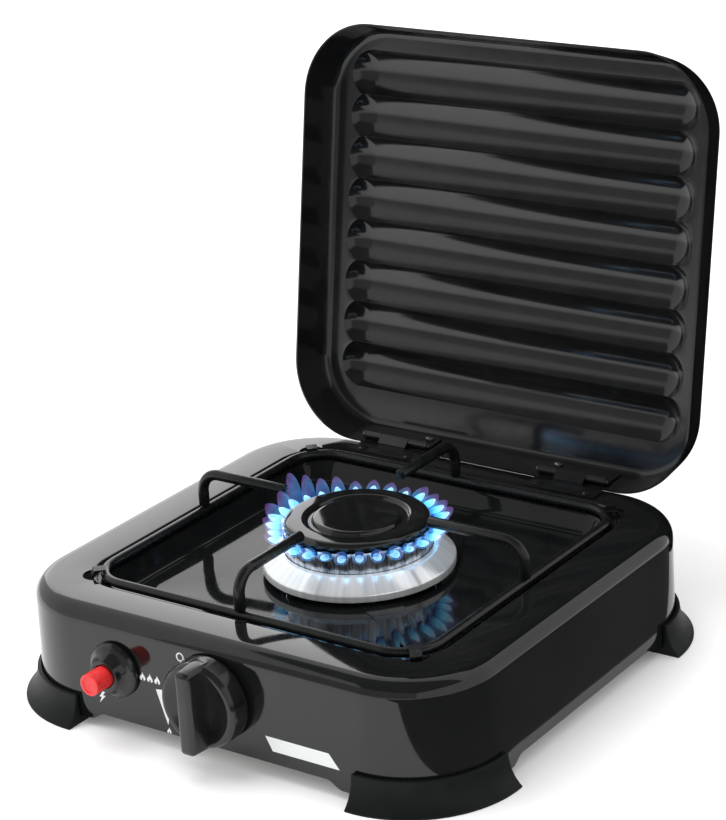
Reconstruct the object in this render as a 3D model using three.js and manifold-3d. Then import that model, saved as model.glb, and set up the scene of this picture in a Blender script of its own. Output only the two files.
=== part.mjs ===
// A single-burner gas camping stove with a hinged lid, shown with the lid open.
// Millimetres, +X to the stove's right, +Y to its back, +Z up, z = 0 on the ground.
import * as THREE from "three";
import { mergeVertices } from "three/addons/utils/BufferGeometryUtils.js";
import Module from "manifold-3d";

const wasm = await Module();
wasm.setup();

// ---------------------------------------------------------------- driving dimensions

const CLEARANCE = 0.3; // between pieces that touch or slide

// pressed steel body
const BODY_WIDTH = 270;
const BODY_DEPTH = 256;
const TOP_HEIGHT = 64.3; // top plate above the ground
const SHEET = 1.2;
const BODY_CORNER = 49;
const TOP_FILLET = 8.8;
const WALL_DRAFT = 0.7; // the walls lean in by this much at the top
const EDGE_HEIGHT = 8.5; // lower edge between the feet
const EDGE_DROP = 4; // the edge is lower beside the feet
const RAMP = 9; // length of the slope between the two

// recess pressed into the top plate
const OPENING_WIDTH = BODY_WIDTH - 56.4;
const OPENING_DEPTH = BODY_DEPTH - 49.1;
const OPENING_CORNER = 27;
const OPENING_Y = 2.1; // the recess and the burner sit a little behind the middle
const SHOULDER_DROP = 3.2;
const SHOULDER_WIDTH = 6.5;
const RECESS_DEPTH = 13.2;
const RECESS_SLOPE = 18; // from the opening's edge to the flat floor
const NOTCH_RADIUS = 7; // corner notches that take the support clips

// pan support
const FRAME_ROD = 2.5; // radii
const PRONG_ROD = 2.9;
const FRAME_INSET = 6.6; // from the opening's edge to the rod's middle
const PRONG_TOP = 88.6;
const PRONG_BEND = 11;
const PRONG_TIP = 45; // radius about the burner's axis
const PRONG_SHIFT = -3; // front and rear prongs stand a little left of the middle

// burner
const HEAD_RADIUS = 38.6;
const CAP_RADIUS = HEAD_RADIUS - 0.8; // the cap stops just short of the head's outside
const CAP_TOP = 80.8;
const CAP_EDGE = 4.6;
const GROOVE_INNER = 22.6;
const GROOVE_OUTER = 27.1;
const GROOVE_DEPTH = 2.4;
const HEAD_WALL = 4.1;
const HEAD_HEIGHT = 15.2;
const PORT_COUNT = 30;
const PORT_WIDTH = 2.2;
const PORT_HEIGHT = 2.5;
const RING_INNER = HEAD_RADIUS + 3.4;
const RING_OUTER = RING_INNER + 8.2;
const RING_TOP = 64.5;
const RING_EDGE = 57.8;
const RING_LIP = 3.7;
const BOWL_RADIUS = 28.5;
const BOWL_WALL = 2;
const BOWL_BOTTOM = 22;
const FLANGE_RADIUS = 38;
const FLANGE_THICKNESS = 2.4;
const MIXER_RADIUS = 8; // outside of the mixing tube
const MIXER_WALL = 1.4;
const MIXER_LENGTH = 42;
const SCREW_RADIUS = 1.6;
const SCREW_HEAD = 3.2;
const SCREW_HEAD_HEIGHT = 2.1;

// front controls
const CONTROL_HEIGHT = 36; // both controls' axes above the ground
const KNOB_X = 3;
const KNOB_RADIUS = 22.5;
const KNOB_BODY = 11; // depth of the round part
const KNOB_GRIP = 8; // how far the bar stands out of it
const KNOB_GRIP_WIDTH = 11;
const KNOB_TRAVEL = 2;
const KNOB_WALL = 2.5;
const SPINDLE_RADIUS = 3;
const SPINDLE_LENGTH = 27;
const PLUG_RADIUS = 5.6;
const PLUG_LENGTH = 18;
const VALVE_RADIUS = 9.5;
const VALVE_NOSE = 7.6;
const VALVE_LENGTH = 31;
const JET_RADIUS = 3.4;
const JET_LENGTH = 15;
const PIEZO_X = -58;
const PIEZO_RADIUS = 8;
const PIEZO_LENGTH = 44;
const PIEZO_TRAVEL = 6;
const BUTTON_RADIUS = 5.7;
const BUTTON_PROUD = 20.5; // front of the button ahead of the panel
const COLLAR_RADIUS = 14.6;
const COLLAR_DEPTH = 9.5;

// spark electrode
const ELECTRODE_RADIUS = HEAD_RADIUS + 3.8; // its distance from the burner's axis
const ELECTRODE_ANGLE = 188; // degrees round from +X
const CERAMIC_RADIUS = 2.3;
const WIRE_RADIUS = 1.2;

// gas inlet
const INLET_X = 50;
const INLET_HEIGHT = 28;
const PIPE_RADIUS = 3;
const HOSE_TAIL_RADIUS = 4.4;
const HOSE_TAIL_LENGTH = 15;
const HOSE_BORE = 2;

// feet
const FOOT_HEIGHT = 16.5;
const FOOT_FLARE = 9.5;
const FOOT_WALL = 2.2;
const FOOT_SHELF = 6; // how far the foot reaches in under the body's edge

// lid
const LID_WIDTH = BODY_WIDTH - 17.8;
const LID_LENGTH = BODY_DEPTH - 22.4;
const LID_DEPTH = 22.8; // inside, at the flat border
const LID_SHEET = 1;
const LID_CORNER = 42;
const LID_DRAFT = 4.6;
const LID_FILLET = 4;
const LID_GAP = 1.6; // rim above the top plate when closed
const LID_TILT = 9.26; // the open lid leans back by this
const RIB_COUNT = 8;
const RIB_PITCH = (LID_LENGTH - 45.6) / RIB_COUNT;
const RIB_LENGTH = LID_WIDTH - 33.6;
const RIB_BULGE = 7; // the ribs' round ends
const RIB_FIRST = 39.2; // middle of the lowest rib from the hinged rim
const RIB_DEPTH = 6.5;
const RIB_CREST = 2; // the creases between ribs stand off the border by this

// hinges
const PIN_RADIUS = 1.25;
const PIN_FROM_WALL = 4.2; // pin ahead of the closed lid's rear rim
const PIN_ABOVE_RIM = 3.1;
const PIN_Y = BODY_DEPTH / 2 - 6;
const HINGE_X = 57;
const HINGE_WIDTH = 42;
const HINGE_MIDDLE = 18; // width of the body's eye
const HINGE_SHEET = 0.8;
const HINGE_LEAF = 15; // length of the lid's leaf on its wall
const RIVET_RADIUS = 1.5;
const RIVET_HEAD = 2.6;
const RIVET_SPREAD = HINGE_WIDTH * 0.36; // from the hinge's middle to its rivets

// ---------------------------------------------------------------- finishes

const finish = (color, roughness, metalness) =>
  new THREE.MeshStandardMaterial({ color, roughness, metalness });
const ENAMEL = finish(0x1b1c1c, 0.15, 0.1);
const SATIN_WIRE = finish(0x1a1b1b, 0.45, 0.2);
const BLACK_PLASTIC = finish(0x262a29, 0.6, 0);
const GLOSS_PLASTIC = finish(0x151616, 0.2, 0);
const RED_PLASTIC = finish(0xe8393a, 0.35, 0);
const POLISHED = finish(0xdfe3e5, 0.15, 1);
const STEEL = finish(0x9fa3a6, 0.4, 1);
const BRASS = finish(0xb8964c, 0.35, 1);
const CERAMIC = finish(0xe9e6df, 0.3, 0);
const INSULATION = finish(0x8c2f2a, 0.6, 0);

// ---------------------------------------------------------------- shape helpers

const radians = THREE.MathUtils.degToRad;
const vec = (x, y, z) => new THREE.Vector3(x, y, z);

function solidOf(geometry) {
  const bare = geometry.index ? geometry.toNonIndexed() : geometry.clone();
  for (const name of Object.keys(bare.attributes))
    if (name !== "position") bare.deleteAttribute(name);
  const merged = mergeVertices(bare, 1e-4);
  return new wasm.Manifold(
    new wasm.Mesh({
      numProp: 3,
      vertProperties: merged.attributes.position.array,
      triVerts: new Uint32Array(merged.index.array),
    }),
  );
}

function geometryOf(solid) {
  const { vertProperties, triVerts } = solid.getMesh();
  const geometry = new THREE.BufferGeometry();
  geometry.setAttribute("position", new THREE.BufferAttribute(new Float32Array(vertProperties), 3));
  geometry.setIndex(new THREE.BufferAttribute(new Uint32Array(triVerts), 1));
  geometry.computeVertexNormals();
  return geometry;
}

const join = (...pieces) =>
  geometryOf(pieces.map(solidOf).reduce((whole, piece) => whole.add(piece)));
const cut = (geometry, ...tools) =>
  geometryOf(tools.map(solidOf).reduce((rest, tool) => rest.subtract(tool), solidOf(geometry)));
const common = (a, b) => geometryOf(solidOf(a).intersect(solidOf(b)));

// A rounded rectangle of points at one height. Every ring has the same count, so rings can be
// joined; height may be a number or a function of x and y.
const CORNER_STEPS = 5;
const FACET = Math.cos(Math.PI / 4 / CORNER_STEPS); // a facet's distance over its arc's radius
const SIDE_STOPS = [0.62, 0.78]; // extra points on each half side, as shares of its length
function ring(halfWidth, halfDepth, radius, height, y = 0) {
  const corner = Math.min(radius, halfWidth, halfDepth);
  const points = [];
  for (let side = 0; side < 4; side++) {
    const across = side % 2 ? halfWidth : halfDepth;
    const reach = across - corner;
    const turn = (side * Math.PI) / 2;
    const out = side % 2 ? halfDepth : halfWidth;
    for (const stop of [...SIDE_STOPS].reverse().map((s) => -s).concat(SIDE_STOPS))
      points.push(new THREE.Vector2(out, stop * reach).rotateAround(new THREE.Vector2(), turn));
    for (let step = 0; step <= CORNER_STEPS; step++) {
      const angle = (step / CORNER_STEPS) * (Math.PI / 2);
      const x = out - corner + corner * Math.cos(angle);
      const z = reach + corner * Math.sin(angle);
      points.push(new THREE.Vector2(x, z).rotateAround(new THREE.Vector2(), turn));
    }
  }
  const heightAt = typeof height === "function" ? height : () => height;
  return points.map((p) => vec(p.x, p.y + y, heightAt(p.x, p.y)));
}

// Joins rings of equal count. A closed loft comes back to its first ring; an open one is capped.
function loft(rings, closed = false) {
  const count = rings[0].length;
  const position = rings.flat().flatMap((p) => p.toArray());
  const index = [];
  const levels = closed ? rings.length : rings.length - 1;
  for (let level = 0; level < levels; level++)
    for (let i = 0; i < count; i++) {
      const [a, b] = [level * count + i, level * count + ((i + 1) % count)];
      const next = ((level + 1) % rings.length) * count;
      const [c, d] = [next + i, next + ((i + 1) % count)];
      index.push(a, b, d, a, d, c);
    }
  if (!closed)
    for (const [level, flip] of [[0, true], [rings.length - 1, false]]) {
      const centre = position.length / 3;
      const middle = rings[level].reduce((sum, p) => sum.add(p), vec(0, 0, 0)).divideScalar(count);
      position.push(...middle.toArray());
      for (const face of capFaces(rings[level], flip))
        index.push(...face.map((i) => (i === count ? centre : level * count + i)));
    }
  const geometry = new THREE.BufferGeometry();
  geometry.setAttribute("position", new THREE.Float32BufferAttribute(position, 3));
  geometry.setIndex(index);
  return facingOut(geometry);
}

// Triangles across a planar ring that run the ring's own way round, or the other way. A convex
// ring is filled from its middle, which is numbered after its last point.
function capFaces(points, flip) {
  const flat = flatten(points);
  const count = flat.length;
  const at = (i) => flat[i % count];
  const turn = Math.sign(THREE.ShapeUtils.area(flat));
  const bends = flat.map((p, i) => turn * THREE.ShapeUtils.area([p, at(i + 1), at(i + 2)]));
  const faces = bends.every((bend) => bend > -1e-6)
    ? flat.map((_, i) => [i, (i + 1) % count, count])
    : THREE.ShapeUtils.triangulateShape(flat, []).map((face) =>
        turn * THREE.ShapeUtils.area(face.map(at)) > 0 ? face : face.toReversed());
  return flip ? faces.map((face) => face.toReversed()) : faces;
}

// Drops a planar ring onto the axis plane that it is broadest in, keeping its turning sense.
function flatten(points) {
  const area = new THREE.Vector3();
  points.forEach((p, i) => area.add(p.clone().cross(points[(i + 1) % points.length])));
  const [x, y, z] = area.toArray().map(Math.abs);
  if (z >= x && z >= y) return points.map((p) => new THREE.Vector2(p.x, p.y));
  return points.map((p) => (x >= y ? new THREE.Vector2(p.y, p.z) : new THREE.Vector2(p.z, p.x)));
}

function volumeOf(geometry) {
  const flat = geometry.toNonIndexed().getAttribute("position");
  const corner = (i) => new THREE.Vector3().fromBufferAttribute(flat, i);
  let volume = 0;
  for (let i = 0; i < flat.count; i += 3)
    volume += corner(i).dot(corner(i + 1).cross(corner(i + 2))) / 6;
  return volume;
}

function facingOut(geometry) {
  if (volumeOf(geometry) < 0) {
    const index = geometry.index.array;
    for (let i = 0; i < index.length; i += 3)
      [index[i + 1], index[i + 2]] = [index[i + 2], index[i + 1]];
  }
  geometry.computeVertexNormals();
  return geometry;
}

// A closed [radius, height] outline turned about +Z.
function turned(outline, segments = 32) {
  const closed = outline[0][0] === 0 && outline.at(-1)[0] === 0 ? outline : [...outline, outline[0]];
  const lathe = new THREE.LatheGeometry(closed.map(([r, z]) => new THREE.Vector2(r, z)), segments);
  const bare = mergeVertices(lathe.deleteAttribute("normal").deleteAttribute("uv"), 1e-4);
  const index = [];
  for (let i = 0; i < bare.index.count; i += 3) {
    const [a, b, c] = [0, 1, 2].map((k) => bare.index.getX(i + k));
    if (a !== b && b !== c && c !== a) index.push(a, b, c);
  }
  bare.setIndex(index);
  return facingOut(bare.rotateX(Math.PI / 2));
}

// The same about an axis that points to the stove's front: heights become distances forward.
const turnedForward = (outline, segments) => turned(outline, segments).rotateX(Math.PI / 2);

const rod = (radius, from, to, segments = 16) =>
  turned([[0, 0], [radius, 0], [radius, from.distanceTo(to)], [0, from.distanceTo(to)]], segments)
    .applyQuaternion(
      new THREE.Quaternion().setFromUnitVectors(vec(0, 0, 1), to.clone().sub(from).normalize()),
    )
    .translate(...from.toArray());

// A hexagonal nut on +Z with a round hole.
const nut = (bore, across, thickness) =>
  cut(
    turned([[0, 0], [across, 0], [across, thickness], [0, thickness]], 6),
    rod(bore, vec(0, 0, -1), vec(0, 0, thickness + 1), 16),
  );

// A round section carried along a curve.
function tube(curve, radius, steps, sides = 8) {
  const section = new THREE.Shape(
    Array.from({ length: sides }, (_, i) => {
      const angle = (i / sides) * 2 * Math.PI;
      return new THREE.Vector2(radius * Math.cos(angle), radius * Math.sin(angle));
    }),
  );
  return new THREE.ExtrudeGeometry(section, { steps, extrudePath: curve, bevelEnabled: false });
}

// Straight runs joined by arcs of one radius.
function bentPath(points, radius, closed = false) {
  const path = new THREE.CurvePath();
  const count = points.length;
  const bend = (i) => {
    const [before, at, after] = [points[(i + count - 1) % count], points[i], points[(i + 1) % count]];
    const [into, out] = [before.clone().sub(at).normalize(), after.clone().sub(at).normalize()];
    const reach = radius / Math.tan(into.angleTo(out) / 2);
    const along = (way) => at.clone().addScaledVector(way, reach);
    return { start: along(into), at, end: along(out) };
  };
  const bends = points.map((_, i) => (!closed && (i === 0 || i === count - 1) ? null : bend(i)));
  const last = closed ? count : count - 1;
  for (let i = 0; i < last; i++) {
    const j = (i + 1) % count;
    const from = bends[i] ? bends[i].end : points[i];
    const to = bends[j] ? bends[j].start : points[j];
    path.add(new THREE.LineCurve3(from, to));
    if (bends[j]) path.add(new ArcCurve(bends[j].start, bends[j].at, bends[j].end));
  }
  return path;
}

// The arc that touches two lines of equal length from their meeting point.
class ArcCurve extends THREE.Curve {
  constructor(start, corner, end) {
    super();
    const out = start.clone().add(end).sub(corner.clone().multiplyScalar(2)).normalize();
    const half = start.clone().sub(corner).angleTo(end.clone().sub(corner)) / 2;
    this.centre = corner.clone().addScaledVector(out, start.distanceTo(corner) / Math.cos(half));
    this.from = start.clone().sub(this.centre);
    this.sweep = Math.PI - 2 * half;
    this.axis = this.from.clone().cross(end.clone().sub(this.centre)).normalize();
  }
  getPoint(t, target = new THREE.Vector3()) {
    return target.copy(this.from).applyAxisAngle(this.axis, this.sweep * t).add(this.centre);
  }
}

// A flat strip of even thickness that follows points in the YZ plane, as wide as the span in X.
function strip(points, thickness, width, x = 0) {
  const side = (sign) =>
    points.map((p, i) => {
      const [a, b] = [points[Math.max(i - 1, 0)], points[Math.min(i + 1, points.length - 1)]];
      const along = b.clone().sub(a).normalize();
      const joint = i > 0 && i < points.length - 1
        ? Math.cos(p.clone().sub(a).angleTo(b.clone().sub(p)) / 2)
        : 1;
      const offset = (sign * thickness) / 2 / joint;
      return p.clone().add(new THREE.Vector2(-along.y, along.x).multiplyScalar(offset));
    });
  const outline = new THREE.Shape([...side(1), ...side(-1).reverse()]);
  return new THREE.ExtrudeGeometry(outline, { depth: width, bevelEnabled: false })
    .applyMatrix4(new THREE.Matrix4().makeBasis(vec(0, 1, 0), vec(0, 0, 1), vec(1, 0, 0)))
    .translate(x - width / 2, 0, 0);
}

function mesh(name, geometry, material) {
  const made = new THREE.Mesh(geometry, material);
  made.name = name;
  return made;
}

const stove = new THREE.Group();
const add = (name, geometry, material) => stove.add(mesh(name, geometry, material));

// ---------------------------------------------------------------- body

const halfWidth = BODY_WIDTH / 2;
const halfDepth = BODY_DEPTH / 2;
const panelAt = (height) => {
  const lean = (WALL_DRAFT * (height - EDGE_HEIGHT)) / (TOP_HEIGHT - EDGE_HEIGHT);
  return -(halfDepth - lean);
};
const edgeHeight = (x, y) => {
  const along = (at, half) => {
    const end = half - BODY_CORNER - RAMP;
    return THREE.MathUtils.smoothstep(Math.abs(at), end - RAMP, end);
  };
  const onSide = Math.abs(Math.abs(x) - halfWidth) < Math.abs(Math.abs(y) - halfDepth);
  return EDGE_HEIGHT - EDGE_DROP * (onSide ? along(y, halfDepth) : along(x, halfWidth));
};

function bodyRings(inset) {
  // From the lower edge over the top plate and down the recess to its burner hole; inset is 0 for
  // the outer face and the sheet's thickness for the inner one.
  const fillet = TOP_FILLET - inset;
  const springLine = TOP_HEIGHT - TOP_FILLET;
  const outer = (shrink, height) =>
    ring(halfWidth - inset - shrink, halfDepth - inset - shrink, BODY_CORNER - inset - shrink, height);
  const rings = [outer(0, edgeHeight), outer(0.1, EDGE_HEIGHT + EDGE_DROP), outer(WALL_DRAFT, springLine)];
  for (const angle of [30, 60, 90].map(radians))
    rings.push(outer(WALL_DRAFT + fillet * (1 - Math.cos(angle)), springLine + fillet * Math.sin(angle)));
  const recess = (shrink, drop) =>
    ring(
      OPENING_WIDTH / 2 - shrink + inset,
      OPENING_DEPTH / 2 - shrink + inset,
      Math.max(OPENING_CORNER - shrink + inset, 4),
      TOP_HEIGHT - drop - inset,
      OPENING_Y,
    );
  rings.push(recess(0, 0), recess(1.4, 0.9), recess(2.6, SHOULDER_DROP));
  rings.push(recess(2.6 + SHOULDER_WIDTH, SHOULDER_DROP + 0.4));
  rings.push(recess(RECESS_SLOPE - 3.5, RECESS_DEPTH - 1.6), recess(RECESS_SLOPE, RECESS_DEPTH));
  const hole = (BOWL_RADIUS + CLEARANCE) / FACET;
  rings.push(ring(hole, hole, hole, TOP_HEIGHT - RECESS_DEPTH - inset, OPENING_Y));
  return rings;
}

const FLOOR = TOP_HEIGHT - RECESS_DEPTH; // the recess's floor
const corners = [[-1, -1], [1, -1], [-1, 1], [1, 1]];
const cornerNames = ["front_left", "front_right", "rear_left", "rear_right"];
const burnerScrewAngles = [90, 210, 330].map(radians);
const screwCircle = (BOWL_RADIUS + FLANGE_RADIUS) / 2;
const around = (radius, angle, height) =>
  vec(radius * Math.cos(angle), OPENING_Y + radius * Math.sin(angle), height);
const electrodeAt = (height) => around(ELECTRODE_RADIUS, radians(ELECTRODE_ANGLE), height);
const atInlet = (y) => vec(INLET_X, y, INLET_HEIGHT);
const burnerScrewHole = (angle, from, to) =>
  rod(SCREW_RADIUS + CLEARANCE, around(screwCircle, angle, from), around(screwCircle, angle, to), 12);
const frameHalfWidth = OPENING_WIDTH / 2 - FRAME_INSET;
const frameHalfDepth = OPENING_DEPTH / 2 - FRAME_INSET;
const frameCorner = OPENING_CORNER - FRAME_INSET;
const notchAt = ([sx, sy]) => {
  const middle = (half, corner) => half - corner + (corner + FRAME_ROD + 1.6) * Math.SQRT1_2;
  const [x, y] = [middle(frameHalfWidth, frameCorner), middle(frameHalfDepth, frameCorner)];
  return [sx * x, OPENING_Y + sy * y];
};
const rivetY = OPENING_Y + OPENING_DEPTH / 2 + 5.2; // between the recess and the hinges
const footScrewHeight = FOOT_HEIGHT * 0.66;
const cornerCentre = ([sx, sy]) => vec(sx * (halfWidth - BODY_CORNER), sy * (halfDepth - BODY_CORNER), 0);
const diagonal = ([sx, sy]) => vec(sx, sy, 0).normalize();
const footScrew = (corner, from, to, radius) => {
  const at = (r) =>
    cornerCentre(corner).addScaledVector(diagonal(corner), r).setZ(footScrewHeight);
  return rod(radius, at(from), at(to), 8);
};

const panelHole = (x, radius) =>
  rod(radius, vec(x, -halfDepth - 4, CONTROL_HEIGHT), vec(x, -halfDepth + 8, CONTROL_HEIGHT), 24);
const shell = cut(
  loft([...bodyRings(0), ...bodyRings(SHEET).reverse()], true),
  panelHole(KNOB_X, VALVE_NOSE + CLEARANCE),
  panelHole(PIEZO_X, PIEZO_RADIUS + CLEARANCE),
  rod(CERAMIC_RADIUS + CLEARANCE, electrodeAt(FLOOR - 6), electrodeAt(FLOOR + 2), 16),
  rod(PIPE_RADIUS + CLEARANCE, atInlet(halfDepth - 8), atInlet(halfDepth + 4), 16),
  ...burnerScrewAngles.map((angle) => burnerScrewHole(angle, FLOOR - 6, FLOOR + 3)),
  ...corners.map((corner) => footScrew(corner, BODY_CORNER - 6, BODY_CORNER + 2, SCREW_RADIUS + CLEARANCE)),
  ...corners.map((corner) => {
    const [x, y] = notchAt(corner);
    return rod(NOTCH_RADIUS, vec(x, y, TOP_HEIGHT - 2.4), vec(x, y, TOP_HEIGHT + 4), 20);
  }),
  ...[-1, 1].flatMap((side) =>
    [-1, 1].map((end) => {
      const [x, y] = [side * HINGE_X + end * RIVET_SPREAD, rivetY];
      return rod(RIVET_RADIUS + CLEARANCE, vec(x, y, TOP_HEIGHT - 4), vec(x, y, TOP_HEIGHT + 3), 8);
    }),
  ),
);
add("body_shell", shell, ENAMEL);

// Each foot hugs a corner: a flared outer wall and a shelf under the body's edge.
const footSection = [
  [CLEARANCE, FOOT_HEIGHT],
  [FOOT_WALL, FOOT_HEIGHT],
  [FOOT_WALL + 0.6, FOOT_HEIGHT * 0.72],
  [FOOT_WALL + 2.4, FOOT_HEIGHT * 0.38],
  [FOOT_FLARE - 0.6, FOOT_HEIGHT * 0.1],
  [FOOT_FLARE, 0],
  [-FOOT_SHELF, 0],
  [-FOOT_SHELF, EDGE_HEIGHT - EDGE_DROP - CLEARANCE],
  [CLEARANCE, EDGE_HEIGHT - EDGE_DROP - CLEARANCE],
];
const FOOT_RUN = 2; // the foot runs on a little past the corner's arc
corners.forEach((corner, i) => {
  const centre = cornerCentre(corner);
  const [sx, sy] = corner;
  const at = (angle, slide) =>
    footSection.map(([r, height]) => {
      const reach = BODY_CORNER + r;
      return vec(
        centre.x + sx * (reach * Math.cos(angle) - slide.x),
        centre.y + sy * (reach * Math.sin(angle) - slide.y),
        height,
      );
    });
  const sections = [at(0, { x: 0, y: FOOT_RUN })];
  for (let step = 0; step <= CORNER_STEPS; step++)
    sections.push(at((step / CORNER_STEPS) * (Math.PI / 2), { x: 0, y: 0 }));
  sections.push(at(Math.PI / 2, { x: FOOT_RUN, y: 0 }));
  const pocketEnd = BODY_CORNER + FOOT_WALL - 0.6;
  const pocket = footScrew(corner, BODY_CORNER - 2, pocketEnd, SCREW_RADIUS + CLEARANCE);
  add(`foot_${cornerNames[i]}`, cut(loft(sections), pocket), BLACK_PLASTIC);
  const inside = (BODY_CORNER - SHEET - WALL_DRAFT / 2) * FACET - CLEARANCE;
  const screw = join(
    footScrew(corner, inside - SCREW_HEAD_HEIGHT, inside, SCREW_HEAD),
    footScrew(corner, inside - 0.2, pocketEnd - CLEARANCE, SCREW_RADIUS),
  );
  add(`foot_screw_${cornerNames[i]}`, screw, STEEL);
});

// ---------------------------------------------------------------- pan support

const frameHeight = TOP_HEIGHT - SHOULDER_DROP + CLEARANCE + FRAME_ROD;
const frameLoop = bentPath(
  [[1, -1], [1, 1], [-1, 1], [-1, -1]].map(([sx, sy]) =>
    vec(sx * frameHalfWidth, OPENING_Y + sy * frameHalfDepth, frameHeight)),
  frameCorner,
  true,
);

function closedTube(path, radius, steps, sides) {
  const rings = [];
  for (let i = 0; i < steps; i++) {
    const at = path.getPointAt(i / steps);
    const along = path.getTangentAt(i / steps);
    const out = along.clone().cross(vec(0, 0, 1)).normalize();
    rings.push(
      Array.from({ length: sides }, (_, k) => {
        const angle = ((k + 0.5) / sides) * 2 * Math.PI;
        const rise = vec(0, 0, radius * Math.sin(angle));
        return at.clone().addScaledVector(out, radius * Math.cos(angle)).add(rise);
      }),
    );
  }
  return loft(rings, true);
}
add("support_frame", closedTube(frameLoop, FRAME_ROD, 40, 6), SATIN_WIRE);

const prongHeight = PRONG_TOP - PRONG_ROD;
const prongFoot = frameHeight + FRAME_ROD + CLEARANCE;
const prongs = {
  front: [vec(PRONG_SHIFT, -frameHalfDepth, 0), vec(0, 1, 0)],
  rear: [vec(PRONG_SHIFT, frameHalfDepth, 0), vec(0, -1, 0)],
  left: [vec(-frameHalfWidth, 0, 0), vec(1, 0, 0)],
  right: [vec(frameHalfWidth, 0, 0), vec(-1, 0, 0)],
};
for (const [name, [foot, inward]] of Object.entries(prongs)) {
  const base = foot.clone().add(vec(0, OPENING_Y, 0));
  const reach = Math.abs(foot.dot(inward)) - PRONG_TIP;
  const bend = base.clone().setZ(prongHeight);
  const tip = bend.clone().addScaledVector(inward, reach);
  const path = bentPath([base.setZ(prongFoot), bend, tip], PRONG_BEND);
  add(`support_prong_${name}`, tube(path, PRONG_ROD, 10, 8), SATIN_WIRE);
}

// Spring clips that hold the frame down in the corner notches.
corners.forEach((corner, i) => {
  const [x, y] = notchAt(corner);
  const out = diagonal(corner);
  const angle = Math.atan2(out.y, out.x);
  const top = frameHeight + FRAME_ROD + CLEARANCE + 0.5;
  const low = TOP_HEIGHT - 2.2;
  const outline = [[2.2, low], [2.2, TOP_HEIGHT + 0.2], [1.2, top], [-4.8, top]]
    .map(([r, z]) => new THREE.Vector2(r, z));
  const clip = strip(outline, 0.8, 6).applyMatrix4(
    new THREE.Matrix4().makeRotationZ(angle - Math.PI / 2).setPosition(x, y, 0),
  );
  add(`support_clip_${cornerNames[i]}`, geometryOf(solidOf(clip)), STEEL);
});

// ---------------------------------------------------------------- burner

const neckTop = FLOOR + 9;
const headFloor = neckTop + CLEARANCE;
const headTop = headFloor + HEAD_HEIGHT;
const atBurner = (geometry) => geometry.translate(0, OPENING_Y, 0);
const flangeTop = FLOOR - SHEET - CLEARANCE;
const mixerBoss = -BOWL_RADIUS - 2; // the boss's mouth, from the burner's axis
const bowl = turned([
  [0, BOWL_BOTTOM],
  [BOWL_RADIUS - 4, BOWL_BOTTOM],
  [BOWL_RADIUS, BOWL_BOTTOM + 6],
  [BOWL_RADIUS, flangeTop - FLANGE_THICKNESS],
  [FLANGE_RADIUS, flangeTop - FLANGE_THICKNESS],
  [FLANGE_RADIUS, flangeTop],
  [BOWL_RADIUS, flangeTop],
  [BOWL_RADIUS, neckTop],
  [BOWL_RADIUS - BOWL_WALL, neckTop],
  [BOWL_RADIUS - BOWL_WALL, BOWL_BOTTOM + 7],
  [BOWL_RADIUS - 5, BOWL_BOTTOM + BOWL_WALL],
  [0, BOWL_BOTTOM + BOWL_WALL],
], 40);
const mixerAxis = (y) => vec(KNOB_X, y, CONTROL_HEIGHT);
const bowlInside = turned([
  [0, BOWL_BOTTOM + BOWL_WALL],
  [BOWL_RADIUS - 5, BOWL_BOTTOM + BOWL_WALL],
  [BOWL_RADIUS - BOWL_WALL, BOWL_BOTTOM + 7],
  [BOWL_RADIUS - BOWL_WALL, neckTop],
  [0, neckTop],
], 40);
const boss = rod(MIXER_RADIUS + 1.5, mixerAxis(mixerBoss), mixerAxis(-BOWL_RADIUS / 2), 24);
add(
  "burner_bowl",
  atBurner(
    cut(
      join(bowl, cut(boss, bowlInside)),
      rod(MIXER_RADIUS - MIXER_WALL, mixerAxis(mixerBoss - 2), mixerAxis(-BOWL_RADIUS / 2), 20),
      ...burnerScrewAngles.map((angle) =>
        burnerScrewHole(angle, flangeTop - 8, flangeTop + 4).translate(0, -OPENING_Y, 0)),
    ),
  ),
  STEEL,
);
burnerScrewAngles.forEach((angle, i) => {
  const head = flangeTop - FLANGE_THICKNESS - CLEARANCE;
  const at = (height) => around(screwCircle, angle, height);
  const screw = join(
    rod(SCREW_HEAD, at(head - SCREW_HEAD_HEIGHT), at(head), 16),
    rod(SCREW_RADIUS, at(head - 0.2), at(FLOOR + 1.5), 12),
  );
  add(`burner_screw_${i + 1}`, screw, STEEL);
});

const head = turned([
  [BOWL_RADIUS - 4.5, headFloor],
  [HEAD_RADIUS, headFloor],
  [HEAD_RADIUS, headTop],
  [HEAD_RADIUS - HEAD_WALL, headTop],
  [HEAD_RADIUS - HEAD_WALL, headFloor + 2],
  [BOWL_RADIUS - 4.5, headFloor + 2],
], 32);
const portBars = Array.from({ length: PORT_COUNT / 2 }, (_, i) =>
  new THREE.BoxGeometry(2 * HEAD_RADIUS + 4, PORT_WIDTH, 2 * PORT_HEIGHT)
    .rotateZ(((i + 0.5) / PORT_COUNT) * 2 * Math.PI)
    .translate(0, 0, headTop));
add("burner_head", atBurner(cut(head, ...portBars)), STEEL);

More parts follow.
